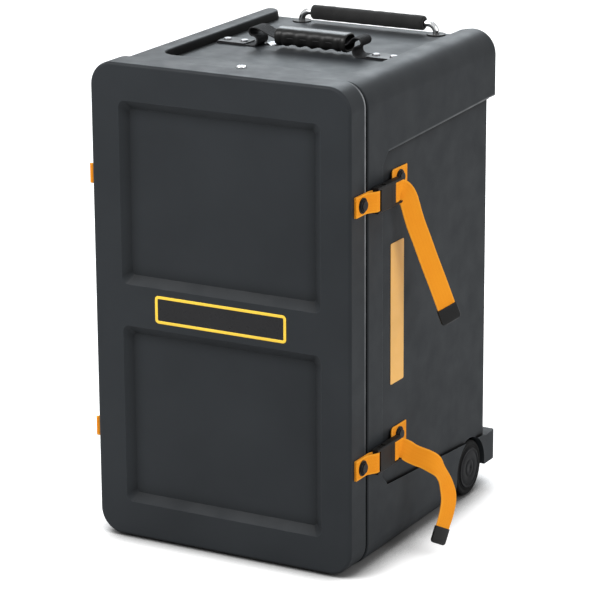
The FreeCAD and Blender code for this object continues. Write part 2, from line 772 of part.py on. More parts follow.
def build_carry_handle():
    path = [(-x, z) for x, z in handle_half(-1)[::-1]] + handle_half(1)
    outline = ribbon_outline(path, HANDLE_STRAP_THICK)
    y0 = y_at(HANDLE_DEPTH) - HANDLE_STRAP_WIDTH / 2
    wire = Part.makePolygon([Vec(x, y0, z) for x, z in outline + [outline[0]]])
    strap = Part.Face(wire).extrude(Vec(0, HANDLE_STRAP_WIDTH, 0))
    for x in handle_rivet_places():
        strap = strap.cut(cyl_z(
            HANDLE_RIVET_SHANK, top_floor, top_floor + HANDLE_STRAP_THICK, x, y_at(HANDLE_DEPTH)))
    save("carry_strap", strap)

    half = GRIP_LENGTH / 2
    grip_y = y_at(HANDLE_DEPTH)
    grip = cyl_x(GRIP_RADIUS, -half, half, grip_y, grip_level)
    grip = round_edges(
        grip, GRIP_END_ROUND,
        lambda e: e.BoundBox.XLength < EDGE_TOLERANCE)
    slot_half = HANDLE_STRAP_WIDTH / 2 + GRIP_SLOT_GAP
    grip_half_y = slot_half + GRIP_WALL
    flange = box(
        -half + GRIP_END_ROUND, half - GRIP_END_ROUND, grip_y - grip_half_y, grip_y + grip_half_y,
        grip_level - GRIP_FLANGE_THICK / 2, grip_level + GRIP_FLANGE_THICK / 2)
    flange = round_edges(
        flange, GRIP_FLANGE_ROUND,
        lambda e: e.BoundBox.XLength > GRIP_LENGTH / 2)
    grip = joined([grip, flange])
    slot = HANDLE_STRAP_THICK / 2 + GRIP_SLOT_GAP
    grip = grip.cut(box(
        -half - OVERRUN, half + OVERRUN, grip_y - slot_half, grip_y + slot_half,
        grip_level - slot, grip_level + slot))
    for index in range(GRIP_GROOVES):
        x = (index - (GRIP_GROOVES - 1) / 2) * GROOVE_PITCH
        z = grip_level - GRIP_RADIUS - GROOVE_RADIUS + GROOVE_CUT
        grip = grip.cut(cyl_y(
            GROOVE_RADIUS, grip_y - grip_half_y, grip_y + grip_half_y, x, z))
    grip.translate(Vec(GRIP_SHIFT, 0, 0))
    save("carry_grip", grip)

    plate_low = top_floor + HANDLE_STRAP_THICK
    plate_high = plate_low + HANDLE_PLATE_THICK
    plates = []
    rivets = []
    for _, side in sides:
        plate = box(
            side * HANDLE_PLATE_START, side * HANDLE_STRAP_END,
            grip_y - HANDLE_STRAP_WIDTH / 2, grip_y + HANDLE_STRAP_WIDTH / 2,
            plate_low, plate_high)
        plate = round_edges(
            plate, HANDLE_PLATE_CORNER,
            lambda e: max(e.BoundBox.XLength, e.BoundBox.YLength) < EDGE_TOLERANCE)
        plates.append(plate)
    for x in handle_rivet_places():
        hole = cyl_z(HANDLE_RIVET_SHANK, plate_low, plate_high, x, grip_y)
        plates = [plate.cut(hole) for plate in plates]
        head = domed_head(HANDLE_RIVET_RADIUS, HANDLE_RIVET_HEAD, plate_high)
        shank = cyl_z(HANDLE_RIVET_SHANK, cavity_top, plate_high, 0, 0)
        rivet = joined([head, shank])
        rivet.translate(Vec(x, grip_y, 0))
        rivets.append(rivet)
    save_group("carry_plates", plates)
    save_group("carry_rivets", rivets)


def build_pull_handle():
    """A rod bent to a wide U, upside down, with foam on its top run."""
    y = y_at(ROD_DEPTH)
    arc = ROD_BEND * (1 - math.sqrt(0.5))
    inner = rod_x - ROD_BEND
    shoulder = rod_top_z - ROD_BEND
    edges = [
        Part.LineSegment(Vec(-rod_x, y, rod_low_z), Vec(-rod_x, y, shoulder)).toShape(),
        Part.Arc(
            Vec(-rod_x, y, shoulder), Vec(-rod_x + arc, y, rod_top_z - arc),
            Vec(-inner, y, rod_top_z)).toShape(),
        Part.LineSegment(Vec(-inner, y, rod_top_z), Vec(inner, y, rod_top_z)).toShape(),
        Part.Arc(
            Vec(inner, y, rod_top_z), Vec(rod_x - arc, y, rod_top_z - arc),
            Vec(rod_x, y, shoulder)).toShape(),
        Part.LineSegment(Vec(rod_x, y, shoulder), Vec(rod_x, y, rod_low_z)).toShape(),
    ]
    circle = Part.Wire([Part.makeCircle(ROD_RADIUS, Vec(-rod_x, y, rod_low_z), Vec(0, 0, 1))])
    save("pull_bar", Part.Wire(edges).makePipeShell([circle], True, True))
    half = FOAM_LENGTH / 2
    foam = cyl_x(FOAM_RADIUS, -half, half, y, rod_top_z)
    foam = round_edges(foam, FOAM_END_ROUND, lambda e: e.BoundBox.XLength < EDGE_TOLERANCE)
    foam = foam.cut(cyl_x(ROD_RADIUS, -half, half, y, rod_top_z))
    save("foam_grip", foam)
    feet = []
    bezels = []
    for name, side in sides:
        feet.append(rod_axis_bore(side, tube_bore - FOOT_GAP, rod_low_z - FOOT_LENGTH, rod_low_z))
        tube = rod_axis_bore(side, TUBE_RADIUS, tube_low, top_floor)
        tube = tube.cut(rod_axis_bore(side, tube_bore, tube_low, top_floor))
        save("guide_tube_" + name, tube)
        bezel = rod_axis_bore(side, BEZEL_RADIUS, top_floor, bezel_top)
        sleeve = rod_axis_bore(side, tube_bore, top_floor - BEZEL_SLEEVE, top_floor)
        bezel = joined([bezel, sleeve])
        bezel = bezel.cut(rod_axis_bore(
            side, ROD_RADIUS + BEZEL_GAP, top_floor - OVERRUN, bezel_top))
        bezels.append(bezel)
    save_group("rod_feet", feet)
    save_group("tube_bezels", bezels)


def build_tube_clamps():
    """A saddle over each guide tube at half height, riveted to the back wall."""
    z0 = middle_z - CLAMP_HEIGHT / 2
    z1 = middle_z + CLAMP_HEIGHT / 2
    wall_y = y_at(body_rear)
    tube_y = y_at(ROD_DEPTH)
    outer = TUBE_RADIUS + CLAMP_THICK
    clamps = []
    for _, side in sides:
        x = side * rod_x
        wing = outer + CLAMP_WING
        saddle = joined([
            box(x - wing, x + wing, wall_y, wall_y + CLAMP_THICK, z0, z1),
            box(x - outer, x + outer, wall_y, tube_y, z0, z1),
            cyl_z(outer, z0, z1, x, tube_y),
        ])
        hollow = joined([
            cyl_z(TUBE_RADIUS + TUBE_FIT, z0, z1, x, tube_y),
            box(x - TUBE_RADIUS - TUBE_FIT, x + TUBE_RADIUS + TUBE_FIT, wall_y, tube_y, z0, z1),
        ])
        clamps.append(saddle.cut(hollow))
    rivets = []
    for x in clamp_rivet_places():
        hole = cyl_y(CLAMP_RIVET_SHANK, wall_y, wall_y + CLAMP_THICK, x, middle_z)
        clamps = [clamp.cut(hole) for clamp in clamps]
        head_y = wall_y + CLAMP_THICK
        head = cyl_y(CLAMP_RIVET_RADIUS, head_y, head_y + CLAMP_RIVET_HEAD, x, middle_z)
        head = round_edges(
            head, CLAMP_RIVET_HEAD * HEAD_ROUND_SHARE,
            lambda e: e.BoundBox.YMin > head_y + CLAMP_RIVET_HEAD - EDGE_TOLERANCE)
        shank = cyl_y(CLAMP_RIVET_SHANK, y_at(cavity_rear), head_y, x, middle_z)
        rivets.append(joined([head, shank]))
    save_group("tube_clamps", clamps)
    save_group("clamp_rivets", rivets)


def ring_x(outer, inner, x0, x1, y, z):
    return cyl_x(outer, x0, x1, y, z).cut(cyl_x(inner, x0, x1, y, z))


def build_wheels():
    y = y_at(WHEEL_DEPTH)
    z = wheel_z
    caps = []
    for name, side in sides:
        x0 = side * wheel_inner
        x1 = side * wheel_outer
        tyre = cyl_x(WHEEL_RADIUS, x0, x1, y, z)
        tyre = round_edges(
            tyre, TYRE_CROWN, lambda e: e.BoundBox.XLength < EDGE_TOLERANCE)
        tyre = tyre.cut(cyl_x(hub_radius, x0, x1, y, z))
        save("tyre_" + name, tyre)
        hub = cyl_x(hub_radius, x0, x1, y, z)
        for face, inward in ((x0, side), (x1, -side)):
            hub = hub.cut(ring_x(
                hub_radius - HUB_RIM, HUB_BOSS_RADIUS, face, face + inward * HUB_SINK, y, z))
        hub = hub.cut(cyl_x(HUB_BOSS_RADIUS, x1, x1 - side * HUB_SINK, y, z))
        hub = hub.cut(cyl_x(bush_radius, x0, x1, y, z))
        middle = (hub_radius - HUB_RIM + HUB_BOSS_RADIUS) / 2
        for index in range(HUB_HOLE_COUNT):
            angle = 2 * math.pi * index / HUB_HOLE_COUNT
            hub = hub.cut(cyl_x(
                HUB_HOLE_RADIUS, x0, x1, y + middle * math.cos(angle),
                z + middle * math.sin(angle)))
        save("hub_" + name, hub)
        outer_end = x1 - side * HUB_SINK
        flange_end = x0 - side * BUSH_FLANGE_THICK
        bush = joined([
            ring_x(bush_radius, AXLE_RADIUS + AXLE_FIT, x0, outer_end, y, z),
            ring_x(
                bush_radius + BUSH_FLANGE, AXLE_RADIUS + AXLE_FIT, flange_end, x0, y, z),
        ])
        save("bush_" + name, bush)
        cap_start = outer_end + side * AXLE_CAP_GAP
        cap = cyl_x(AXLE_CAP_RADIUS, cap_start, cap_start + side * AXLE_CAP_LENGTH, y, z)
        caps.append(cap.cut(cyl_x(
            AXLE_RADIUS, cap_start, cap_start + side * AXLE_CAP_LENGTH / 2, y, z)))
    end = wheel_outer - HUB_SINK + AXLE_CAP_GAP + AXLE_CAP_LENGTH / 2
    save("axle", cyl_x(AXLE_RADIUS, -end, end, y, z))
    save_group("axle_caps", caps)


def strap_solid(path, height):
    """A strap that stays level: its edge-on path of (x, y) points, run along z."""
    outline = ribbon_outline(path, STRAP_THICK)
    z0 = height - STRAP_WIDTH / 2
    wire = Part.makePolygon([Vec(x, y, z0) for x, y in outline + [outline[0]]])
    return Part.Face(wire).extrude(Vec(0, 0, STRAP_WIDTH))


def buckle_levels():
    """Inner face, outer face and middle x of a buckle on the right side."""
    inner = lid_half + BUCKLE_LIFT
    outer = inner + BUCKLE_THICK
    return inner, outer, (inner + outer) / 2


def build_tab(name, side, height):
    """The short strap that holds the socket half to the lid, in two layers."""
    half = STRAP_THICK / 2
    inner_x = lid_half + half
    outer_x = inner_x + STRAP_THICK + STRAP_SKIN_GAP
    _, _, middle = buckle_levels()
    bar_y = y_at(BUCKLE_START)
    slot_y = bar_y + SOCKET_BAR + SOCKET_SLOT / 2
    bar_half = SOCKET_BAR
    over = middle + bar_half + half + STRAP_SKIN_GAP
    under = middle - bar_half - half - STRAP_SKIN_GAP
    front = y_at(TAB_START)
    turn = half + 2 * STRAP_SKIN_GAP
    path = [
        (inner_x, front), (inner_x, bar_y - TAB_RAMP_INNER), (under, bar_y - half),
        (under, slot_y - turn), (under + turn, slot_y), (over - turn, slot_y),
        (over, slot_y - turn), (over, bar_y - half), (outer_x, bar_y - TAB_RAMP_OUTER),
        (outer_x, front),
    ]
    tab = strap_solid(path, height)
    tab = tab.cut(cyl_x(
        BOLT_SHANK_RADIUS + AXLE_FIT, lid_half, lid_half + OVERRUN, y_at(TAB_BOLT_DEPTH), height))
    save("tab_" + name, mirrored(tab, side))


def build_socket(name, side, height):
    """The socket half of the buckle, open towards the rear, with side windows."""
    inner, outer, middle = buckle_levels()
    y0 = y_at(BUCKLE_START)
    y1 = y0 + SOCKET_LENGTH
    half = BUCKLE_WIDTH / 2
    socket = box(inner, outer, y0, y1, height - half, height + half)
    socket = round_edges(
        socket, BUCKLE_ROUND, lambda e: e.BoundBox.YLength > SOCKET_LENGTH / 2)
    slot_half = STRAP_WIDTH / 2 + STRAP_SKIN_GAP
    slot_y = y0 + SOCKET_BAR
    socket = socket.cut(box(
        inner - OVERRUN, outer + OVERRUN, slot_y, slot_y + SOCKET_SLOT,
        height - slot_half, height + slot_half))
    for x0, x1 in ((inner - OVERRUN, middle - SOCKET_BAR), (middle + SOCKET_BAR, outer + OVERRUN)):
        socket = socket.cut(box(
            x0, x1, y0 - OVERRUN, slot_y, height - slot_half, height + slot_half))
    room = half - SOCKET_WALL
    room_y = slot_y + SOCKET_SLOT + SOCKET_BRIDGE
    x0 = inner + SOCKET_SKIN
    x1 = outer - SOCKET_SKIN
    socket = socket.cut(box(x0, x1, room_y, y1 + OVERRUN, height - room, height + room))
    window = y0 + WINDOW_START
    socket = socket.cut(box(
        x0, x1, window, window + WINDOW_LENGTH, height - half - OVERRUN, height + half + OVERRUN))
    save("socket_" + name, mirrored(socket, side))


def build_plug(name, side, height):
    """The plug half: a block with two sprung prongs and a ladder for the strap."""
    inner, outer, middle = buckle_levels()
    half = BUCKLE_WIDTH / 2
    y0 = y_at(BUCKLE_START) + SOCKET_LENGTH + PLUG_GAP
    y1 = y0 + PLUG_BLOCK
    rear = y1 + LADDER_SLOT + LADDER_BAR + LADDER_SLOT + LADDER_END_BAR
    slot_half = STRAP_WIDTH / 2 + STRAP_SKIN_GAP
    plug = box(inner, outer, y0, rear, height - half, height + half)
    plug = round_edges(plug, BUCKLE_ROUND, lambda e: e.BoundBox.YLength > PLUG_BLOCK)
    plug = plug.cut(box(
        inner - OVERRUN, outer + OVERRUN, y1, rear + OVERRUN,
        height - slot_half, height + slot_half))
    bar_y = y1 + LADDER_SLOT
    bar = box(
        middle - LADDER_BAR_THICK / 2, middle + LADDER_BAR_THICK / 2, bar_y, bar_y + LADDER_BAR,
        height - slot_half, height + slot_half)
    end_bar = box(
        middle - LADDER_END_SINK, middle - LADDER_END_SINK + LADDER_END_THICK,
        rear - LADDER_END_BAR, rear, height - slot_half, height + slot_half)
    spine = box(
        middle - PRONG_THICK / 2, middle + PRONG_THICK / 2, y0 - SPINE_LENGTH, y0,
        height - SPINE_WIDTH / 2, height + SPINE_WIDTH / 2)
    plug = joined([plug, bar, end_bar, spine])
    pivot_y = y0 + PRONG_PIVOT
    x0 = middle - PRONG_THICK / 2 - PRONG_NOTCH
    x1 = middle + PRONG_THICK / 2 + PRONG_NOTCH
    for prong_name, up in (("upper", 1), ("lower", -1)):
        pivot_z = height + up * PRONG_OFFSET
        plug = plug.cut(cyl_x(PRONG_PIVOT_RADIUS + PRONG_FIT, x0, x1, pivot_y, pivot_z))
        mouth = PRONG_ARM / 2 + PRONG_NOTCH
        plug = plug.cut(box(x0, x1, y0 - PLUG_GAP, pivot_y, pivot_z - mouth, pivot_z + mouth))
        build_prong(name + "_" + prong_name, side, up, pivot_y, pivot_z, y0)
    save("plug_" + name, mirrored(plug, side))


def build_prong(name, side, up, pivot_y, pivot_z, block_y):
    """One sprung prong: a round root, an arm and the bulge that catches the window."""
    _, _, middle = buckle_levels()
    x0 = middle - PRONG_THICK / 2
    x1 = middle + PRONG_THICK / 2
    half = PRONG_ARM / 2
    outer_z = pivot_z + up * (BUCKLE_WIDTH / 2 - BULGE_SINK - PRONG_OFFSET)
    arm_outer = pivot_z + up * half
    arm_inner = pivot_z - up * half
    bulge_rear = block_y - BULGE_START
    bulge_front = bulge_rear - BULGE_LENGTH
    nose = block_y - PRONG_NOSE
    points = [
        (pivot_y, arm_inner), (nose + PRONG_ARM, arm_inner), (nose, arm_outer),
        (bulge_front + PRONG_ARM, outer_z), (bulge_rear, outer_z), (bulge_rear, arm_outer),
        (pivot_y, arm_outer),
    ]
    prong = joined([
        flat_prism(points, x0, x1), cyl_x(PRONG_PIVOT_RADIUS, x0, x1, pivot_y, pivot_z)])
    save("prong_" + name, mirrored(prong, side))


def tail_places(row, height, start):
    """Points of the strap's loose end and its width directions."""
    places = HIGH_TAIL_SHARES if row == "high" else LOW_TAIL_SHARES
    widths = HIGH_WIDTH_SHARES if row == "high" else LOW_WIDTH_SHARES
    points = []
    directions = []
    for out, back, up in places:
        points.append(start + Vec(out, back, up) * TAIL_LENGTH)
    for out, back, up in widths:
        direction = Vec(out, back, up)
        direction.normalize()
        directions.append(direction)
    return points, directions


def flat_sections(path, heights):
    """Sections of a strap whose width stays upright while its height changes."""
    left, right = ribbon_sides(path, STRAP_THICK)
    half = Vec(0, 0, STRAP_WIDTH / 2)
    wires = []
    for (x0, y0), (x1, y1), z in zip(left, right, heights):
        near = Vec(x0, y0, z)
        far = Vec(x1, y1, z)
        corners = [far + half, far - half, near - half, near + half]
        wires.append(Part.makePolygon(corners + [corners[0]]))
    return wires


def loose_sections(points, directions, width, thickness):
    """Sections square to a strap's path, with their width along directions."""
    wires = []
    for index, here in enumerate(points):
        before = points[max(index - 1, 0)]
        after = points[min(index + 1, len(points) - 1)]
        along = after - before
        along.normalize()
        across = directions[index] - along * directions[index].dot(along)
        across.normalize()
        normal = along.cross(across)
        w = across * (width / 2)
        t = normal * (thickness / 2)
        corners = [here + w + t, here - w + t, here - w - t, here + w - t]
        wires.append(Part.makePolygon(corners + [corners[0]]))
    return wires


def build_strap(name, row, side, height):
    """The long strap: bolted to the body, round the ladder bars, then hanging loose."""
    half = STRAP_THICK / 2
    _, _, middle = buckle_levels()
    y1 = y_at(BUCKLE_START) + SOCKET_LENGTH + PLUG_GAP + PLUG_BLOCK
    bar_half = LADDER_BAR_THICK / 2 + half + STRAP_SKIN_GAP
    slot_one = y1 + LADDER_SLOT / 2
    bar_rear = y1 + LADDER_SLOT + LADDER_BAR
    end_front = bar_rear + LADDER_SLOT
    rear = end_front + LADDER_END_BAR
    over_x = middle - LADDER_END_SINK + LADDER_END_THICK + half + STRAP_SKIN_GAP
    skin = side_half + half
    bolt_y = y_at(ANCHOR_BOLT_DEPTH)
    high = height + ANCHOR_RISE
    anchor_path = [
        (skin, y_at(ANCHOR_END)), (skin, bolt_y - BOLT_WASHER_RADIUS - ANCHOR_FLAT),
    ]
    fold_path = [
        (middle - LADDER_BAR_THICK - STRAP_THICK, end_front), (middle - bar_half, bar_rear),
        (middle - bar_half, slot_one + half), (middle - half, slot_one),
        (middle + half, slot_one), (middle + bar_half, slot_one + half),
        (middle + bar_half, bar_rear + LADDER_TURN), (over_x, end_front + LADDER_TURN),
        (over_x, rear), (over_x + half, rear + STRAP_THICK),
    ]
    heights = [high] * len(anchor_path) + [height] * len(fold_path)
    start = Vec(fold_path[-1][0], fold_path[-1][1], height)
    points, directions = tail_places(row, height, start)
    sections = flat_sections(anchor_path + fold_path, heights)
    sections += loose_sections(points, directions, STRAP_WIDTH, STRAP_THICK)[1:]
    strap = Part.makeLoft(sections, True, True)
    strap = strap.cut(cyl_x(
        BOLT_SHANK_RADIUS + AXLE_FIT, side_half, side_half + STRAP_THICK, bolt_y, high))
    save("strap_" + name, mirrored(strap, side))
    return strap_tip(points, directions, side)


def strap_tip(points, directions, side):
    """The black end cap, with a pocket that holds the end of the strap."""
    along = points[-1] - points[-2]
    along.normalize()
    back = points[-1] - along * (TIP_LENGTH / 2)
    front = points[-1] + along * (TIP_LENGTH / 2)
    ends = [directions[-1], directions[-1]]
    width = STRAP_WIDTH + 2 * TIP_SKIN
    thick = STRAP_THICK + 2 * TIP_SKIN
    cap = Part.makeLoft(loose_sections([back, front], ends, width, thick), True, True)
    pocket = Part.makeLoft(
        loose_sections([back - along, points[-1]], ends, STRAP_WIDTH, STRAP_THICK), True, True)
    return mirrored(cap.cut(pocket), side)


def bolt_x(skin_x, stack, wall, depth, height, side):
    """A washer, round head, shank and nut through a stack of strap and a wall."""
    y = y_at(depth)
    top = skin_x + stack
    washer_top = top + BOLT_WASHER_THICK
    inside = skin_x - wall
    parts = [
        cyl_x(BOLT_WASHER_RADIUS, top, washer_top, y, height),
        cyl_x(BOLT_HEAD_RADIUS, washer_top, washer_top + BOLT_HEAD_HEIGHT, y, height),
        cyl_x(BOLT_SHANK_RADIUS, inside - BOLT_NUT_HEIGHT, top, y, height),
        cyl_x(BOLT_NUT_RADIUS, inside - BOLT_NUT_HEIGHT, inside, y, height),
    ]
    return mirrored(joined(parts), side)


def build_straps():
    tips = []
    tab_bolts = []
    anchor_bolts = []
    tab_stack = 2 * STRAP_THICK + STRAP_SKIN_GAP
    for side_name, side in sides:
        for row, height in strap_rows:
            name = side_name + "_" + row
            build_tab(name, side, height)
            build_socket(name, side, height)
            build_plug(name, side, height)
            tips.append(build_strap(name, row, side, height))
            tab_bolts.append(bolt_x(
                lid_half, tab_stack, LID_WALL, TAB_BOLT_DEPTH, height, side))
            anchor_bolts.append(bolt_x(
                side_half, STRAP_THICK, BODY_WALL, ANCHOR_BOLT_DEPTH, height + ANCHOR_RISE, side))
    save_group("strap_tips", tips)
    save_group("tab_bolts", tab_bolts)
    save_group("anchor_bolts", anchor_bolts)


build_body_shell()
build_lining()
build_lid()
build_side_label()
build_rivet_and_plug()
build_carry_handle()
build_pull_handle()
build_tube_clamps()
build_wheels()
build_straps()
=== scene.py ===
"""Looks for a hard case that holds a box drum, laid out as a Blender add-on.

Shapes are worked out in millimetres, with Z up, the lid towards -Y and +X to the
right, and are put into their meshes in metres. Depths are counted backwards from
the front face of the lid.
"""

import math

import bmesh
import bpy
import numpy as np
from mathutils import Matrix, Vector


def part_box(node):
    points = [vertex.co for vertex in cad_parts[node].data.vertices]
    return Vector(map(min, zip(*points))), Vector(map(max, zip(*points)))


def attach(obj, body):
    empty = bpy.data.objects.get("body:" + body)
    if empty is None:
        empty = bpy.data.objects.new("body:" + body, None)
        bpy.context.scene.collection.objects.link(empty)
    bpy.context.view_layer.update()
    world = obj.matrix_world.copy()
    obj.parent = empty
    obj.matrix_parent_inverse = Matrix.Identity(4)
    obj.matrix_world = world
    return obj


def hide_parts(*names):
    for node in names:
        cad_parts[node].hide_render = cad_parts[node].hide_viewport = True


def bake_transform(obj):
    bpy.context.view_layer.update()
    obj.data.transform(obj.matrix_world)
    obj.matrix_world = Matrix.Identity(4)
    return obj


bl_info = {
    "name": "Drum case dressing",
    "version": (1, 0, 0),
    "blender": (4, 5, 0),
    "location": "3D View > Sidebar > Drum case",
    "description": "Dresses a hard drum case with straps, handles, wheels and finishes",
    "category": "Object",
}

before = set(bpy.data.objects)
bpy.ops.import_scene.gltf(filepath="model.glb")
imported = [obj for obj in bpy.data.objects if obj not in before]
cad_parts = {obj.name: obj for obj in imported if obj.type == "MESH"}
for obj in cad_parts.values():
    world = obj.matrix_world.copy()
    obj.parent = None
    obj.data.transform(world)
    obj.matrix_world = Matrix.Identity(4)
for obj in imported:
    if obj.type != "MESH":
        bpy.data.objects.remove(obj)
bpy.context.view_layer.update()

MM = 0.001
SIDES = (("left", -1), ("right", 1))
ROWS = (("high", 458.0), ("low", 136.0))
FRONT_Y = -200.45
LID_HALF = 176.0
SIDE_HALF = 171.5
BUCKLE_MIDDLE = 182.6
BUCKLE_START = 49.0
ANCHOR_RISE = 9.5
BUCKLE_REAR = 109.9
HANDLE_Y = 24.55
POCKET_FLOOR = 586.0
GRIP_HALF = 49.0
GRIP_MIDDLE = 7.0
GRIP_PITCH = 18.0
LID_REAR = FRONT_Y + 38.0
BAND_EDGE_Y = -102.15
BAND_EDGE_Z = 506.0
BAND_EDGE_RISE = 0.0307
# Painted highlights: the pale line along the lid's rear edge and along the upper side bands' lower
# edge.
LID_EDGE_HIGHLIGHT = (0.26, 0.27, 0.28, 1.0)
BAND_EDGE_HIGHLIGHT = (0.16, 0.165, 0.17, 1.0)
LAMP_COOL = (0.86, 0.94, 1.0)

# Loose strap ends: outwards, backwards and upwards from where they leave the buckle
HIGH_TAIL = np.array((
    (0.0, 0.0, -0.3), (1.5, 1.9, -2.4), (4.0, 3.8, -6.7), (6.4, 5.8, -12.8), (8.1, 7.8, -21.0),
    (10.2, 9.8, -31.7), (13.4, 12.3, -44.6), (18.9, 16.5, -63.4), (25.4, 22.5, -88.2),
    (33.4, 31.0, -118.8), (42.9, 42.7, -158.8)))
HIGH_WIDTHS = np.array((
    (0.0, 0.0, 1.0), (0.02, 0.05, 1.0), (0.14, 0.22, 0.96), (0.30, 0.45, 0.84),
    (0.42, 0.60, 0.68), (0.48, 0.70, 0.54), (0.50, 0.73, 0.46), (0.50, 0.75, 0.43),
    (0.50, 0.75, 0.43), (0.50, 0.75, 0.43), (0.50, 0.75, 0.43)))
LOW_TAIL = np.array((
    (0.0, 0.0, -0.4), (4.6, 4.4, -3.6), (9.0, 9.0, -8.4), (15.1, 14.5, -13.1),
    (24.2, 22.0, -18.6), (31.9, 28.0, -25.3), (38.1, 32.0, -34.8), (44.5, 35.0, -50.2),
    (50.1, 31.0, -65.4), (51.5, 24.0, -81.0), (48.7, 10.5, -108.8)))
LOW_WIDTHS = np.array((
    (0.0, 0.0, 1.0), (0.0, 0.0, 1.0), (0.0, 0.0, 1.0), (0.0, 0.03, 1.0), (0.0, 0.12, 0.99),
    (-0.04, 0.45, 0.89), (-0.12, 0.88, 0.45), (0.10, 0.95, 0.28), (0.30, 0.94, 0.05),
    (0.33, 0.92, -0.20), (0.23, 0.83, -0.51)))
TAILS = {"high": (HIGH_TAIL, HIGH_WIDTHS), "low": (LOW_TAIL, LOW_WIDTHS)}


def colour(name, text, default):
    return bpy.props.FloatVectorProperty(
        name=name, description=text, default=default, size=4, min=0, max=1, subtype="COLOR")


def length(name, text, default_mm):
    return bpy.props.FloatProperty(
        name=name, description=text, default=default_mm * MM, min=0, unit="LENGTH",
        subtype="DISTANCE", precision=5)


def share(name, text, default):
    return bpy.props.FloatProperty(
        name=name, description=text, default=default, min=0, max=4, subtype="FACTOR")


def angle(name, text, degrees):
    return bpy.props.FloatProperty(
        name=name, description=text, default=math.radians(degrees), subtype="ANGLE",
        unit="ROTATION")


class CaseColours(bpy.types.PropertyGroup):
    """Colours of the finishes, in linear light."""
    shell: colour("Shell", "Moulded plastic of the lid and the body", (0.0240, 0.0268, 0.0298, 1))
    webbing: colour("Strap", "Closing straps", (0.97, 0.37, 0.022, 1))
    # Painted shade: the strap colour in the grooves between its ribs.
    webbing_groove_shade: colour(
        "Strap grooves", "Closing straps between their ribs", (0.86, 0.26, 0.010, 1))
    handle_webbing: colour("Handle strap", "Strap of the carry handle", (0.006, 0.006, 0.0065, 1))
    buckle: colour("Buckle", "Side-release buckles", (0.016, 0.0155, 0.015, 1))
    cap: colour("Strap end cap", "Caps on the loose strap ends", (0.007, 0.007, 0.007, 1))
    label: colour("Side label", "Film of the side label", (0.86, 0.47, 0.125, 1))
    badge: colour("Badge face", "Middle of the badge", (0.008, 0.008, 0.009, 1))
    border: colour("Badge border", "Border of the badge", (0.92, 0.60, 0.06, 1))
    foam: colour("Foam", "Grip of the pull handle", (0.016, 0.016, 0.016, 1))
    lining: colour("Lining", "Foam lining", (0.035, 0.036, 0.038, 1))
    rubber: colour("Rubber", "Tyres", (0.010, 0.010, 0.010, 1))
    hub: colour("Hub", "Wheel hubs", (0.010, 0.010, 0.011, 1))


class CaseSizes(bpy.types.PropertyGroup):
    """Sizes of the pieces that are added around the frame."""
    strap_width: length("Strap width", "Width of the closing straps", 25.0)
    strap_thick: length("Strap thickness", "Thickness of the closing straps", 1.6)
    strap_bead: length("Strap edge bead", "How far the woven edges stand proud", 0.12)
    cap_length: length("End cap length", "Length of the caps on the strap ends", 21.0)
    cap_skin: length("End cap wall", "Wall of the caps on the strap ends", 1.1)
    edge_round: length("Edge rounding", "Rounding of the moulded edges of the shells", 1.2)
    buckle_round: length("Buckle rounding", "Rounding of the buckles' edges", 0.5)
    border_width: length("Badge border", "Width of the badge's border", 3.8)
    border_proud: length("Badge border height", "Height of the badge's border", 0.25)
    handle_strap_width: length("Handle strap width", "Width of the carry handle's strap", 28.0)
    foam_round: length("Foam end rounding", "Rounding of the foam grip's ends", 1.8)
    tread_depth: length("Tread depth", "Depth of the grooves in the tyres", 1.2)


class CaseFinish(bpy.types.PropertyGroup):
    """Strengths of the surface detail."""
    shell_rough: share("Shell roughness", "Roughness of the moulded shells", 0.46)
    grain: share("Grain", "Strength of the shells' moulded grain", 0.28)
    # Paler edges are partly abrasion and partly a painted highlight.
    wear_and_highlight: share("Edge wear", "How much lighter the worn edges are", 0.8)
    weave: share("Weave", "Strength of the straps' weave", 0.6)
    scuffs: share("Scuffs", "How strongly small scuffs show", 0.15)


class StageSettings(bpy.types.PropertyGroup):
    """The camera, the lamps and the floor."""
    azimuth: angle("Azimuth", "Turn of the camera from the front to the right", 28.975)
    elevation: angle("Elevation", "Height of the camera above the level", 16.595)
    roll: angle("Roll", "Turn of the picture", -0.338)
    target: bpy.props.FloatVectorProperty(
        name="Target", description="Point that the camera looks at",
        default=(0.020437, -0.04045, 0.286279), subtype="XYZ", unit="LENGTH")
    distance: length("Distance", "From the camera to its target", 3755.496)
    focal: bpy.props.FloatProperty(
        name="Focal length", description="Lens for a sensor 36 mm wide", default=182.589,
        min=1, unit="CAMERA")
    room_light: share("Room light", "Even light from all around", 0.55)
    key: share("Key lamp", "Strength of the lamp above the left front", 1.0)
    fill: share("Fill lamp", "Strength of the lamp at the right", 1.05)


def settings():
    return bpy.context.scene.drum_case


class CaseSettings(bpy.types.PropertyGroup):
    """All settings of the case."""
    colours: bpy.props.PointerProperty(type=CaseColours)
    sizes: bpy.props.PointerProperty(type=CaseSizes)
    finish: bpy.props.PointerProperty(type=CaseFinish)
    stage: bpy.props.PointerProperty(type=StageSettings)


# Shapes

def y_at(depth):
    """The y of a depth counted backwards from the front face of the lid, in millimetres."""
    return FRONT_Y + depth


def box_mm(name):
    """A CAD node's lowest and highest corners, in millimetres."""
    return (np.array(corner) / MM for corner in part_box(name))


def unit(vectors):
    """Each row divided by its own length."""
    return vectors / np.linalg.norm(vectors, axis=-1, keepdims=True)


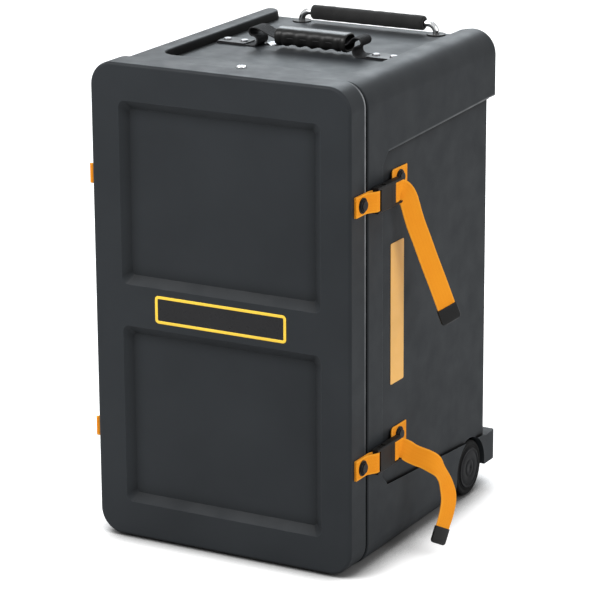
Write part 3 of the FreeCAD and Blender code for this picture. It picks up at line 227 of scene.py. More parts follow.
def through(points, step):
    """A smooth line through points, sampled about every step.

    It is a Catmull-Rom spline whose knots are the square roots of the distances added
    up, worked out as three levels of straight blends between neighbours. Columns
    beyond the first three are blended with the place.
    """
    points = np.asarray(points, float)
    points = np.vstack([2 * points[:1] - points[1:2], points, 2 * points[-1:] - points[-2:-1]])
    gaps = np.linalg.norm(np.diff(points[:, :3], axis=0), axis=1)
    knots = np.concatenate([[0], np.cumsum(np.sqrt(gaps))])
    counts = np.maximum(np.ceil(gaps[1:-1] / step).astype(int), 1)
    run = np.repeat(np.arange(len(counts)), counts)
    first = np.repeat(np.cumsum(counts) - counts, counts)
    part = (np.arange(len(run)) - first) / counts[run]
    run = np.append(run, len(counts) - 1)
    part = np.append(part, 1.0)
    t0, t1, t2, t3 = (knots[run + i] for i in range(4))
    p0, p1, p2, p3 = (points[run + i] for i in range(4))
    t = t1 + part * (t2 - t1)

    def mix(a, b, ta, tb):
        return a + (b - a) * ((t - ta) / (tb - ta))[:, None]

    a1, a2, a3 = mix(p0, p1, t0, t1), mix(p1, p2, t1, t2), mix(p2, p3, t2, t3)
    return mix(mix(a1, a2, t0, t2), mix(a2, a3, t1, t3), t1, t2)


def arc(cx, cy, radius, start, end, count=7):
    """Points on part of a circle: the centre plus the radius times cosine and sine."""
    turn = np.radians(np.linspace(start, end, count))
    return np.column_stack([cx + radius * np.cos(turn), cy + radius * np.sin(turn)])


def grid_quads(rows, columns, closed_rows=False):
    """Four-cornered faces of a grid whose columns close on themselves."""
    r = np.arange(rows if closed_rows else rows - 1)[:, None]
    c = np.arange(columns)[None, :]
    r2 = (r + 1) % rows
    c2 = (c + 1) % columns
    quads = np.stack([r * columns + c, r * columns + c2, r2 * columns + c2, r2 * columns + c], -1)
    return quads.reshape(-1, 4)


def carried(line, across, profile):
    """A closed profile carried along a line.

    Each ring is the line's point plus the profile's first coordinate times the width
    direction plus its second times the direction square to line and width.
    """
    along = unit(np.gradient(line, axis=0))
    across = unit(across - along * np.sum(across * along, axis=1, keepdims=True))
    normal = np.cross(along, across)
    rings = (line[:, None] + profile[None, :, 0, None] * across[:, None]
             + profile[None, :, 1, None] * normal[:, None])
    return rings


def strap_profile(width, thick, bead, flat=10, turn=5):
    """A flat strap's section: two flats joined by half circles, thicker near the edges.

    The half thickness is that of the strap plus the bead times a bump that peaks just
    inside each edge.
    """
    half = (width - thick) / 2
    u = np.linspace(-1, 1, 2 * flat + 1)
    flats = np.sign(u) * np.abs(u) ** 0.6 * half
    rise = thick / 2 + bead * np.exp(-((np.abs(flats) - half * 0.93) / (half * 0.06)) ** 2)
    cap = arc(half, 0, thick / 2, -90, 90, turn + 2)[1:-1]
    other = arc(-half, 0, thick / 2, 90, 270, turn + 2)[1:-1]
    low = np.column_stack([flats, -rise])
    high = np.column_stack([flats[::-1], rise[::-1]])
    return np.vstack([low, cap, high, other])


def strap_mesh(path, width, thick, bead, step=1.5):
    """Points, faces and surface coordinates of a strap along path (place and width)."""
    fine = through(path, step)
    line, across = fine[:, :3], unit(fine[:, 3:])
    profile = strap_profile(width, thick, bead)
    rings = carried(line, across, profile)
    rows, columns = rings.shape[:2]
    along = np.concatenate([[0], np.cumsum(np.linalg.norm(np.diff(line, axis=0), axis=1))])
    grid = np.stack(np.broadcast_arrays(profile[None, :, 0], along[:, None]), -1)
    ends = [np.arange(columns)[::-1], np.arange(columns) + (rows - 1) * columns]
    return rings.reshape(-1, 3), [grid_quads(rows, columns), *ends], grid.reshape(-1, 2)


def turned(profile, y, z, count, change=None):
    """A profile of (x, radius) turned about a line along x.

    Each point is the axis plus radius times cosine and sine. change takes the grids of
    x, radius and angle and returns new x and radius.
    """
    angles = np.linspace(0, 2 * np.pi, count, endpoint=False)
    x = np.repeat(profile[:, :1], count, axis=1)
    r = np.repeat(profile[:, 1:2], count, axis=1)
    t = np.repeat(angles[None], len(profile), axis=0)
    if change:
        x, r = change(x, r, t)
    grid = np.stack([x, y + r * np.cos(t), z + r * np.sin(t)], -1)
    return grid


def rounded_rectangle(half_width, half_height, radius, steps=6):
    """A rounded rectangle's outline: four quarter circles in turn."""
    corners = []
    for sx, sy, start in ((1, 1, 0), (-1, 1, 90), (-1, -1, 180), (1, -1, 270)):
        corners.append(arc(
            sx * (half_width - radius), sy * (half_height - radius), radius, start, start + 90,
            steps))
    return np.vstack(corners)


def put(name, points, faces, material, body, nodes=(), uv=None):
    """One mesh object in metres from points in millimetres, riding on a body."""
    mesh = bpy.data.meshes.new(name)
    listed = []
    for group in faces:
        group = np.asarray(group)
        listed += group.tolist() if group.ndim == 2 else [group.tolist()]
    mesh.from_pydata((np.asarray(points, float) * MM).tolist(), [], listed)
    if uv is not None:
        layer = mesh.uv_layers.new(name="UVMap")
        corner = np.zeros(len(mesh.loops), np.int32)
        mesh.loops.foreach_get("vertex_index", corner)
        layer.data.foreach_set("uv", (np.asarray(uv)[corner] * MM).astype(np.float32).ravel())
    mesh.polygons.foreach_set("use_smooth", np.ones(len(mesh.polygons), bool))
    mesh.update()
    piece = bpy.data.objects.new(name, mesh)
    bpy.context.scene.collection.objects.link(piece)
    outwards(mesh)
    return dress(piece, material, body, nodes)


def dress(piece, material, body, nodes=()):
    piece.data.materials.clear()
    piece.data.materials.append(material)
    if body:
        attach(piece, body)
    if nodes:
        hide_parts(*nodes)
    return piece


def outwards(mesh):
    """Merges doubles and turns all faces outwards."""
    shape = bmesh.new()
    shape.from_mesh(mesh)
    bmesh.ops.remove_doubles(shape, verts=shape.verts, dist=1e-6)
    bmesh.ops.recalc_face_normals(shape, faces=shape.faces)
    shape.to_mesh(mesh)
    shape.free()


def merged_copy(node, name):
    """A copy of a CAD node's mesh with its doubles merged and flat faces made whole."""
    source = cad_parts[node]
    mesh = source.data.copy()
    mesh.name = name
    shape = bmesh.new()
    shape.from_mesh(mesh)
    bmesh.ops.remove_doubles(shape, verts=shape.verts, dist=2e-6)
    bmesh.ops.dissolve_limit(
        shape, angle_limit=math.radians(0.4), verts=shape.verts, edges=shape.edges)
    shape.to_mesh(mesh)
    shape.free()
    mesh.polygons.foreach_set("use_smooth", np.ones(len(mesh.polygons), bool))
    piece = bpy.data.objects.new(name, mesh)
    bpy.context.scene.collection.objects.link(piece)
    return piece


def soften(piece, width, segments=3, degrees=28):
    """Rounds the sharp edges with a bevel and keeps the flats flat."""
    bevel = piece.modifiers.new("Rounding", "BEVEL")
    bevel.width = width
    bevel.segments = segments
    bevel.limit_method = "ANGLE"
    bevel.angle_limit = math.radians(degrees)
    bevel.harden_normals = False
    bevel.use_clamp_overlap = True
    normals = piece.modifiers.new("Normals", "WEIGHTED_NORMAL")
    normals.keep_sharp = True
    return piece


# Finishes

def node(tree, kind, inputs=None, **values):
    """A shader node whose inputs take numbers, colours or other nodes' outputs."""
    made = tree.nodes.new(kind)
    for key, value in values.items():
        setattr(made, key, value)
    for key, value in (inputs or {}).items():
        if isinstance(value, bpy.types.NodeSocket):
            tree.links.new(value, made.inputs[key])
        else:
            made.inputs[key].default_value = value
    return made


def sums(tree, operation, *values):
    return node(tree, "ShaderNodeMath", dict(enumerate(values)), operation=operation).outputs[0]


def object_place(tree, scale=(1, 1, 1)):
    place = node(tree, "ShaderNodeTexCoord").outputs["Object"]
    return node(tree, "ShaderNodeMapping", {"Vector": place, "Scale": scale}).outputs[0]


def noise(tree, place, scale, detail=2.0, rough=0.5):
    return node(tree, "ShaderNodeTexNoise", {
        "Vector": place, "Scale": scale, "Detail": detail, "Roughness": rough}).outputs["Fac"]


def spread(tree, value, low, high, out_low=0.0, out_high=1.0):
    return node(tree, "ShaderNodeMapRange", {
        "Value": value, "From Min": low, "From Max": high, "To Min": out_low,
        "To Max": out_high}).outputs["Result"]


def blend_colour(tree, amount, first, second, kind="MIX"):
    mix = node(tree, "ShaderNodeMix", data_type="RGBA", blend_type=kind)
    for index, value in ((0, amount), (6, first), (7, second)):
        socket = mix.inputs[index]
        if isinstance(value, bpy.types.NodeSocket):
            tree.links.new(value, socket)
        else:
            socket.default_value = value
    return mix.outputs[2]


def shaded(tree, tint, shade):
    """A colour times a grey."""
    grey = node(tree, "ShaderNodeCombineXYZ", {"X": shade, "Y": shade, "Z": shade}).outputs[0]
    return blend_colour(tree, 1.0, tint, grey, "MULTIPLY")


def bump(tree, height, strength, distance, before=None):
    inputs = {"Height": height, "Strength": strength, "Distance": distance}
    if before is not None:
        inputs["Normal"] = before
    return node(tree, "ShaderNodeBump", inputs).outputs["Normal"]


def material(name, roughness, metallic=0.0, specular=0.5, sheen=0.0, coat=0.0, coat_rough=0.1):
    made = bpy.data.materials.new(name)
    made.use_nodes = True
    tree = made.node_tree
    shader = tree.nodes["Principled BSDF"]
    shader.inputs["Roughness"].default_value = roughness
    shader.inputs["Metallic"].default_value = metallic
    shader.inputs["Specular IOR Level"].default_value = specular
    shader.inputs["Sheen Weight"].default_value = sheen
    shader.inputs["Coat Weight"].default_value = coat
    shader.inputs["Coat Roughness"].default_value = coat_rough
    return made, tree, shader


def edge_wear_highlight(tree, radius, low, high):
    """How much an edge is rounded here: one less the dot of rounded and true normal."""
    rounded = node(tree, "ShaderNodeBevel", {"Radius": radius}, samples=6).outputs[0]
    true = node(tree, "ShaderNodeNewGeometry").outputs["Normal"]
    dot = node(tree, "ShaderNodeVectorMath", {0: rounded, 1: true}, operation="DOT_PRODUCT")
    return spread(tree, sums(tree, "SUBTRACT", 1.0, dot.outputs["Value"]), low, high)


def openness(tree, reach, low=0.78, high=0.985, local=True):
    """How open the surface is within a short reach: none in a tight corner, one in the open."""
    share_open = node(tree, "ShaderNodeAmbientOcclusion", {"Distance": reach}, samples=12,
                      only_local=local).outputs["AO"]
    return spread(tree, share_open, low, high)


def band_edge_highlight(tree, parts):
    """A painted highlight along the lower edge of the body's upper side bands, from the
    object's coordinates.

    The edge rises evenly towards the rear. The line is a step up just above it times a
    step down a little higher, on the bands' outer faces, and grows stronger rearwards.
    """
    run = sums(tree, "SUBTRACT", parts[1], BAND_EDGE_Y * MM)
    level = sums(tree, "ADD", sums(tree, "MULTIPLY", run, BAND_EDGE_RISE), BAND_EDGE_Z * MM)
    above = sums(tree, "SUBTRACT", parts[2], level)
    line = sums(tree, "MULTIPLY", spread(tree, above, -0.0006, 0.0),
                spread(tree, above, 0.0016, 0.0026, 1.0, 0.0))
    outside = spread(tree, sums(tree, "ABSOLUTE", parts[0]), 0.1722, 0.1732)
    fade = sums(tree, "MULTIPLY", spread(tree, run, -0.002, 0.002),
                spread(tree, run, 0.0, 0.25, 0.3, 1.0))
    return sums(tree, "MULTIPLY", sums(tree, "MULTIPLY", line, outside), fade)


def moulded(name, tint, roughness, grain=1.0, wear_and_highlight=0.4, specular=0.4, grain_scale=900.0,
            wear_highlight_radius=0.0015, waves=0.0, scuffs=0.0, reach=0.004, rim=None):
    """Moulded plastic: fine grain, slow unevenness, scuffs, paler edges (partly abrasion,
    partly painted highlight) and painted shade in creases.

    rim is the y of the lid's rear edge: at the sides a painted highlight runs along it,
    stronger towards its top, and another along the lower edge of the upper side bands.
    """
    made, tree, shader = material(name, roughness, specular=specular)
    place = object_place(tree)
    slow = noise(tree, place, 9.0, 3.0)
    fine = noise(tree, place, grain_scale, 2.0, 0.6)
    # Paler edges from the rounding mask: partly abrasion, partly a painted highlight.
    worn_and_lit = edge_wear_highlight(tree, wear_highlight_radius, 0.02, 0.25)
    patchy = spread(tree, noise(tree, place, 60.0, 4.0), 0.35, 0.75, 0.2, 1.0)
    # Painted shade in creases and recesses: a short-reach occlusion of the object's own shape
    # takes the colour towards a much darker tint.
    unshaded = openness(tree, reach)
    worn_and_lit = sums(tree, "MULTIPLY", worn_and_lit, sums(tree, "MULTIPLY", patchy, wear_and_highlight))
    worn_and_lit = sums(tree, "MULTIPLY", worn_and_lit, unshaded)
    shade = spread(tree, slow, 0.25, 0.75, 0.9, 1.12)
    base = shaded(tree, tint, shade)
    pale = tuple(min(1.0, c * 3.2 + 0.05) for c in tint[:3]) + (1.0,)
    # Painted shade: the tint used in creases.
    crease_shade = tuple(c * 0.08 for c in tint[:3]) + (1.0,)
    base = blend_colour(tree, worn_and_lit, base, pale)
    base = blend_colour(tree, unshaded, crease_shade, base)
    if rim is not None:
        # Painted highlights along the lid's rear edge and the upper side bands' lower edge.
        parts = node(tree, "ShaderNodeSeparateXYZ", {0: place}).outputs
        rim_highlight = sums(tree, "MULTIPLY", spread(tree, parts[1], rim - 0.0034, rim - 0.0026),
                      spread(tree, parts[1], rim, rim + 0.0004, 1.0, 0.0))
        fade = sums(tree, "MULTIPLY", spread(tree, parts[2], 0.10, 0.45, 0.0, 0.9),
                    spread(tree, sums(tree, "ABSOLUTE", parts[0]), 0.155, 0.172))
        uneven = spread(tree, patchy, 0.2, 1.0, 0.6, 1.0)
        rim_highlight = sums(tree, "MULTIPLY", rim_highlight, sums(tree, "MULTIPLY", fade, uneven))
        base = blend_colour(tree, rim_highlight, base, LID_EDGE_HIGHLIGHT)
        band = sums(tree, "MULTIPLY", band_edge_highlight(tree, parts), uneven)
        base = blend_colour(tree, band, base, BAND_EDGE_HIGHLIGHT)
    rough = spread(
        tree, noise(tree, place, 34.0, 3.0), 0.3, 0.7, roughness - 0.05, roughness + 0.07)
    normal = bump(tree, fine, 0.35 * grain, 0.00012)
    if waves:
        wide = noise(tree, place, 7.0, 1.0)
        normal = bump(tree, wide, waves, 0.004, normal)
    if scuffs:
        streaks = noise(tree, object_place(tree, (18, 18, 260)), 3.0, 6.0, 0.7)
        marks = spread(tree, streaks, 0.66, 0.72, 0.0, scuffs)
        place_marks = spread(tree, noise(tree, place, 5.0, 2.0), 0.52, 0.62)
        marks = sums(tree, "MULTIPLY", marks, place_marks)
        base = blend_colour(tree, marks, base, pale)
        rough = sums(tree, "ADD", rough, sums(tree, "MULTIPLY", marks, 0.2))
    tree.links.new(base, shader.inputs["Base Color"])
    tree.links.new(rough, shader.inputs["Roughness"])
    tree.links.new(normal, shader.inputs["Normal"])
    return made


def webbing(name, tint, groove_shade, weave, pitch=1.25, column=4.2, half_width=12.5):
    """Woven strap: slanted ribs in columns that lean left and right in turn.

    The rib height is a sine of the distance along the strap plus the distance to the
    nearest column edge, both over the pitch. Edge threads run straight and stand out.
    The colour gets painted shade in the grooves and a painted highlight on the edge threads.
    """
    made, tree, shader = material(name, 0.72, specular=0.1)
    uv = node(tree, "ShaderNodeTexCoord").outputs["UV"]
    parts = node(tree, "ShaderNodeSeparateXYZ", {0: uv})
    across, along = parts.outputs[0], parts.outputs[1]
    fold = sums(tree, "PINGPONG", across, column * MM / 2)
    phase = sums(tree, "DIVIDE", sums(tree, "ADD", along, fold), pitch * MM)
    rib = sums(tree, "SINE", sums(tree, "MULTIPLY", phase, 2 * math.pi))
    rib = spread(tree, rib, -1.0, 1.0)
    seam = spread(tree, fold, 0.0, 0.0005)
    edge = spread(tree, sums(tree, "ABSOLUTE", across), half_width * MM - 0.0022,
                  half_width * MM - 0.0014)
    cross = sums(tree, "DIVIDE", along, pitch * MM * 0.7)
    edge_rib = spread(tree, sums(tree, "SINE", sums(tree, "MULTIPLY", cross, 2 * math.pi)), -1, 1)
    height = sums(tree, "MULTIPLY", rib, spread(tree, seam, 0, 1, 0.45, 1.0))
    height = sums(tree, "ADD", sums(tree, "MULTIPLY", height, sums(tree, "SUBTRACT", 1.0, edge)),
                  sums(tree, "MULTIPLY", edge_rib, edge))
    stretched = node(tree, "ShaderNodeMapping", {
        "Vector": uv, "Scale": (3200.0, 500.0, 1.0)}).outputs[0]
    fibre = noise(tree, stretched, 1.0, 3.0, 0.6)
    height = sums(tree, "ADD", height, sums(tree, "MULTIPLY", fibre, 0.35))
    slow = noise(tree, object_place(tree), 22.0, 3.0)
    slow = spread(tree, slow, 0.3, 0.7, -0.1, 0.25)
    tone = sums(tree, "ADD", sums(tree, "MULTIPLY", height, 0.75), slow)
    # Painted shade: where the ribs are low the colour goes to the groove tint.
    base = blend_colour(tree, spread(tree, tone, 0.0, 0.95), groove_shade, tint)
    # Painted highlight: the edge threads are made paler.
    pale = tuple(min(1.0, c * 1.12 + 0.02) for c in tint[:3]) + (1.0,)
    base = blend_colour(tree, sums(tree, "MULTIPLY", edge, 0.5), base, pale)
    tree.links.new(base, shader.inputs["Base Color"])
    tree.links.new(spread(tree, fibre, 0.3, 0.7, 0.62, 0.8), shader.inputs["Roughness"])
    tree.links.new(bump(tree, height, weave, 0.00022), shader.inputs["Normal"])
    return made


def metal(name, tint, roughness, brushed=0.0, pits=0.0, rim=1.0):
    """Metal with a fine brushed grain along Z, small pits and darker outlines."""
    made, tree, shader = material(name, roughness, metallic=1.0)
    shader.inputs["Specular Tint"].default_value = (rim, rim, rim, 1)
    lines = noise(tree, object_place(tree, (900.0, 900.0, 12.0)), 1.0, 3.0, 0.6)
    spots = noise(tree, object_place(tree), 1400.0, 2.0)
    slow = noise(tree, object_place(tree), 45.0, 3.0)
    dull = tuple(c * 0.72 for c in tint[:3]) + (1.0,)
    base = blend_colour(tree, spread(tree, slow, 0.35, 0.75), tint, dull)
    rough = spread(tree, lines, 0.3, 0.7, max(roughness - 0.05, 0.02), roughness + 0.1)
    normal = bump(tree, lines, brushed, 0.00004)
    normal = bump(tree, spots, pits, 0.00012, normal)
    tree.links.new(base, shader.inputs["Base Color"])
    tree.links.new(rough, shader.inputs["Roughness"])
    tree.links.new(normal, shader.inputs["Normal"])
    return made


def foam(name, tint, cell=1100.0, depth=0.0003, rough=0.9):
    """Closed-cell foam: small round cells, larger pores here and there."""
    made, tree, shader = material(name, rough, specular=0.2, sheen=0.1)
    place = object_place(tree)
    cells = node(tree, "ShaderNodeTexVoronoi", {
        "Vector": place, "Scale": cell}).outputs["Distance"]
    pores = spread(tree, noise(tree, place, cell * 0.35, 2.0), 0.62, 0.72)
    slow = spread(tree, noise(tree, place, 40.0, 3.0), 0.3, 0.7, 0.8, 1.25)
    base = shaded(tree, tint, slow)
    # Painted shade: the pores are made darker as well as sunk.
    pore_shade = tuple(c * 0.35 for c in tint[:3]) + (1.0,)
    base = blend_colour(tree, sums(tree, "MULTIPLY", pores, 0.7), base, pore_shade)
    height = sums(tree, "SUBTRACT", cells, sums(tree, "MULTIPLY", pores, 0.6))
    tree.links.new(base, shader.inputs["Base Color"])
    tree.links.new(bump(tree, height, 0.5, depth), shader.inputs["Normal"])
    return made


def film(name, tint, roughness, fade=0.08, coat=0.05):
    """Printed film: slow fading, tiny creases and a thin clear coat."""
    made, tree, shader = material(name, roughness, specular=0.2, coat=coat, coat_rough=0.15)
    place = object_place(tree)
    slow = spread(tree, noise(tree, place, 16.0, 3.0), 0.3, 0.7, 1 - fade, 1 + fade)
    base = shaded(tree, tint, slow)
    tree.links.new(base, shader.inputs["Base Color"])
    tree.links.new(spread(tree, noise(tree, place, 120.0, 3.0), 0.3, 0.7, roughness - 0.06,
                          roughness + 0.08), shader.inputs["Roughness"])
    normal = bump(tree, noise(tree, place, 600.0, 3.0), 0.12, 0.0001)
    normal = bump(tree, noise(tree, place, 60.0, 2.0), 0.15, 0.0005, normal)
    tree.links.new(normal, shader.inputs["Normal"])
    return made


def finish(name):
    """The named finish, made when it is first asked for."""
    look_name = name + "_finish"
    if look_name in bpy.data.materials:
        return bpy.data.materials[look_name]
    tint = settings().colours
    look = settings().finish
    makers = {
        "shell_plastic": lambda: moulded(
            look_name, tuple(tint.shell), look.shell_rough, look.grain * 2, look.wear_and_highlight, 0.08,
            700.0, 0.0022, 0.05, look.scuffs, 0.020, LID_REAR * MM),
        "strap_webbing": lambda: webbing(
            look_name, tuple(tint.webbing), tuple(tint.webbing_groove_shade), look.weave),
        "handle_webbing": lambda: webbing(
            look_name, tuple(c * 2.2 for c in tint.handle_webbing[:3]) + (1.0,),
            tuple(tint.handle_webbing), look.weave * 1.2, 1.6, 5.0, 14.0),
        "buckle_plastic": lambda: moulded(
            look_name, tuple(tint.buckle), 0.42, 0.8, 0.5, 0.08, 1500.0, 0.0006),
        "cap_plastic": lambda: moulded(
            look_name, tuple(tint.cap), 0.34, 0.5, 0.2, 0.2, 1300.0, 0.0006),
        "grip_plastic": lambda: moulded(
            look_name, (0.009, 0.009, 0.009, 1), 0.34, 0.9, 0.3, 0.2, 1200.0, 0.001),
        "hub_plastic": lambda: moulded(
            look_name, tuple(tint.hub), 0.5, 0.9, 0.3, 0.08, 1100.0, 0.0008),
        "bush_plastic": lambda: moulded(
            look_name, (0.55, 0.54, 0.5, 1), 0.4, 0.5, 0.2, 0.45, 1300.0, 0.0005),
        "tyre_rubber": lambda: moulded(
            look_name, tuple(tint.rubber), 0.66, 1.6, 0.4, 0.08, 1600.0, 0.0008, 0.05, 0.3),
        "black_steel": lambda: moulded(
            look_name, (0.007, 0.007, 0.0075, 1), 0.4, 0.6, 1.0, 0.15, 1400.0, 0.0005,
            reach=0.002),
        "bright_steel": lambda: metal(look_name, (0.66, 0.67, 0.69, 1), 0.22, 0.3, 0.15, rim=0.5),
        "worn_steel": lambda: metal(look_name, (0.26, 0.26, 0.27, 1), 0.3, 0.3, 1.0),
        "rod_chrome": lambda: metal(look_name, (0.66, 0.67, 0.68, 1), 0.09, 0.06, 0.0, rim=0.25),
        "tube_metal": lambda: metal(look_name, (0.40, 0.41, 0.42, 1), 0.3, 0.5, 0.1, rim=0.4),
        "grip_foam": lambda: foam(look_name, tuple(tint.foam)),
        "lining_foam": lambda: foam(look_name, tuple(tint.lining), 420.0, 0.0006, 0.95),
        "label_film": lambda: film(look_name, tuple(tint.label), 0.42),
        "badge_film": lambda: film(look_name, tuple(tint.badge), 0.3, 0.15),
        "border_film": lambda: film(look_name, tuple(tint.border), 0.35),
    }
    return makers[name]()


def cover(names, look):
    """Gives CAD nodes that stay shown their finish."""
    for name in names:
        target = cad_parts[name]
        target.data.materials.clear()
        target.data.materials.append(finish(look))


# Pieces

class CasePiece:
    """What all operators of the case share."""
    bl_options = {"REGISTER", "UNDO"}


class DRUMCASE_OT_shells(CasePiece, bpy.types.Operator):
    """Body and lid of grained plastic, with every moulded edge rounded"""
    bl_idname = "drumcase.shells"
    bl_label = "Shells"

    def execute(self, context):
        width = settings().sizes.edge_round
        for node_name, body in (("body_shell", "case"), ("lid_shell", "lid")):
            piece = merged_copy(node_name, node_name + "_moulded")
            dress(piece, finish("shell_plastic"), body, [node_name])
            soften(piece, width)
        return {"FINISHED"}


class DRUMCASE_OT_lining(CasePiece, bpy.types.Operator):
    """Foam lining, remeshed so that its cut edges are soft"""
    bl_idname = "drumcase.lining"
    bl_label = "Foam lining"

    def execute(self, context):
        for name in ("base_pad", "top_pad", "back_pad", "side_pads", "lid_pad"):
            body = "lid" if name == "lid_pad" else "case"
            piece = merged_copy(name, name + "_foam")
            dress(piece, finish("lining_foam"), body, [name])
            soft_slab(piece)
        return {"FINISHED"}


def soft_slab(piece):
    """Voxel remesh and a light smoothing, so that sawn foam edges are round."""
    for name, kind, values in (
            ("Voxels", "REMESH", {"mode": "VOXEL", "voxel_size": 0.003}),
            ("Smoothing", "SMOOTH", {"factor": 0.5, "iterations": 3})):
        change = piece.modifiers.new(name, kind)
        for key, value in values.items():
            setattr(change, key, value)
    shape = bpy.context.evaluated_depsgraph_get()
    mesh = bpy.data.meshes.new_from_object(piece.evaluated_get(shape))
    piece.modifiers.clear()
    piece.data = mesh
    mesh.polygons.foreach_set("use_smooth", np.ones(len(mesh.polygons), bool))


def flipped(path, side):
    """The right side's path, or its mirror image for the left side."""
    path = np.array(path, float)
    path[:, 0] *= side
    path[:, 3] *= side
    return path


def level_path(points, height):
    """Place and width columns of a strap that stays level at one height."""
    points = np.asarray(points, float)
    ones = np.ones(len(points))
    return np.column_stack([
        points, height * ones, 0 * ones, 0 * ones, ones])


def closing_strap_path(row, height):
    """The right strap's path: anchor, wrap round the ladder bars, then its loose end."""
    skin = SIDE_HALF + 0.8
    high = height + ANCHOR_RISE
    middle = BUCKLE_MIDDLE
    slot_y = y_at(94.3)
    bar_y = y_at(102.9)
    end_y = y_at(106.9)
    anchor = [(skin, y_at(150)), (skin, y_at(140)), (skin, y_at(128)), (skin, y_at(116)),
              (skin + 0.5, y_at(113.5))]
    rising = [(middle - 6.3, end_y - 0.3), (middle - 3.7, bar_y - 0.2)]
    fold = [(middle - 3.4, bar_y - 2.5), (middle - 3.4, slot_y + 2.4)]
    fold += arc(middle - 1.0, slot_y + 2.4, 2.4, 180, 270, 6)[1:].tolist()
    fold += arc(middle + 1.0, slot_y + 2.4, 2.4, 270, 360, 6).tolist()
    fold += [(middle + 3.4, bar_y - 2.6), (middle + 3.3, bar_y - 0.4), (middle + 2.3, bar_y + 1.6),
             (middle + 1.75, end_y + 0.2), (middle + 1.8, end_y + 1.8)]
    flat = level_path(anchor + rising + fold, height)
    low = len(anchor)
    flat[:low, 2] = high
    flat[low, 2] = height + 0.6
    places, widths = TAILS[row]
    start = np.array((middle + 2.5, y_at(BUCKLE_REAR + 1.6), height))
    tail = np.column_stack([start + places, widths])
    return np.vstack([flat, tail])


class DRUMCASE_OT_straps(CasePiece, bpy.types.Operator):
    """Four woven closing straps with moulded end caps, and the short straps on the lid"""
    bl_idname = "drumcase.straps"
    bl_label = "Closing straps"

    def execute(self, context):
        sizes = settings().sizes
        width, thick = sizes.strap_width / MM, sizes.strap_thick / MM
        bead = sizes.strap_bead / MM
        cap_points, cap_faces, count = [], [], 0
        for side_name, side in SIDES:
            for row, height in ROWS:
                name = side_name + "_" + row
                path = flipped(closing_strap_path(row, height), side)
                points, faces, uv = strap_mesh(path, width, thick, bead)
                put("closing_strap_" + name, points, faces, finish("strap_webbing"), "case",
                    ["strap_" + name], uv)
                points, faces = end_cap(path, width, thick, sizes.cap_skin / MM,
                                        sizes.cap_length / MM)
                cap_points.append(points)
                cap_faces += [np.asarray(face) + count for face in faces]
                count += len(points)
                path = flipped(level_path(tab_line(side), height), side)
                points, faces, uv = strap_mesh(path, width, thick, bead, 1.0)
                put("lid_tab_" + name, points, faces, finish("strap_webbing"), "lid",
                    ["tab_" + name], uv)
        put("strap_end_caps", np.vstack(cap_points), cap_faces, finish("cap_plastic"), "case",
            ["strap_tips"])
        return {"FINISHED"}


def tab_line(side):
    """The short strap on the lid, in two layers round the socket's bar.

    Its free end lies flat at the right and is bent outwards at the left.
    """
    near = LID_HALF + 0.8
    far = near + 1.7
    middle = BUCKLE_MIDDLE
    bar = y_at(BUCKLE_START)
    slot = bar + 4.8
    ends = [(near, y_at(9)), (near, y_at(20))]
    over = [(far, y_at(20)), (far, y_at(9))]
    if side < 0:
        bent = np.array([(6.0, 8.8), (3.4, 10.6), (1.2, 13.0), (0.2, 15.6), (0.0, 18.5)])
        bent[:, 1] += FRONT_Y
        ends = (bent + (near, 0)).tolist()
        over = (bent[::-1] + (far, 0)).tolist()
    line = ends + [(near, y_at(34)), (near + 0.3, bar - 4.5),
            (middle - 4.6, bar - 1.5), (middle - 3.9, bar + 0.5), (middle - 3.9, slot - 1.4)]
    line += arc(middle - 2.5, slot - 1.2, 1.4, 180, 270, 4)[1:].tolist()
    line += arc(middle + 2.5, slot - 1.2, 1.4, 270, 360, 4).tolist()
    line += [(middle + 3.9, bar + 0.5), (middle + 3.7, bar - 1.5), (far + 0.8, bar - 13.0),
             (far, bar - 16.5)] + over
    return line


def end_cap(path, width, thick, skin, reach):
    """A moulded cap on a strap's end: a flat rounded sleeve that closes to a blunt nose.

    Rings of rounded rectangles run along the end of the strap. Their half width
    shrinks near the nose by a quarter circle.
    """
    fine = through(path, 1.5)
    end, direction = fine[-1, :3], unit(fine[-1, 3:])
    along = unit(fine[-1, :3] - fine[-3, :3])
    across = unit(direction - along * np.dot(direction, along))
    normal = np.cross(along, across)
    t = np.array([0.0, 0.02, 0.06, 0.35, 0.6, 0.74, 0.83, 0.9, 0.95, 0.98, 1.0])
    corner = 4.2
    into = np.clip((t * reach - (reach - corner)) / corner, 0, 1)
    half = width / 2 + skin - corner * (1 - np.sqrt(np.clip(1 - into ** 2, 0, 1)))
    tall = (thick / 2 + skin) * np.sqrt(np.clip(1 - (into * 0.93) ** 4, 0.02, 1))
    half[0] -= 0.35
    tall[0] -= 0.35
    rings = []
    for share_along, w, h in zip(t, half, tall):
        ring = rounded_rectangle(w, h, min(h, 1.2) * 0.98, 4)
        place = end + along * (share_along - 0.5) * reach
        rings.append(place + ring[:, :1] * across + ring[:, 1:] * normal)
    rings = np.array(rings)
    rows, columns = rings.shape[:2]
    faces = grid_quads(rows, columns)
    ends = [np.arange(columns)[::-1], np.arange(columns) + (rows - 1) * columns]
    return rings.reshape(-1, 3), [*faces, *ends]


class DRUMCASE_OT_buckles(CasePiece, bpy.types.Operator):
    """Side-release buckles with softened edges"""
    bl_idname = "drumcase.buckles"
    bl_label = "Buckles"

    def execute(self, context):
        width = settings().sizes.buckle_round
        for side_name, _ in SIDES:
            for row, _ in ROWS:
                name = side_name + "_" + row
                rigid = [("socket_" + name, "lid"), ("plug_" + name, "case")]
                rigid += [(f"prong_{name}_{part}", f"prong_{name}_{part}")
                          for part in ("upper", "lower")]
                for node_name, body in rigid:
                    piece = merged_copy(node_name, node_name + "_moulded")
                    dress(piece, finish("buckle_plastic"), body, [node_name])
                    soften(piece, width, 2, 35)
        return {"FINISHED"}


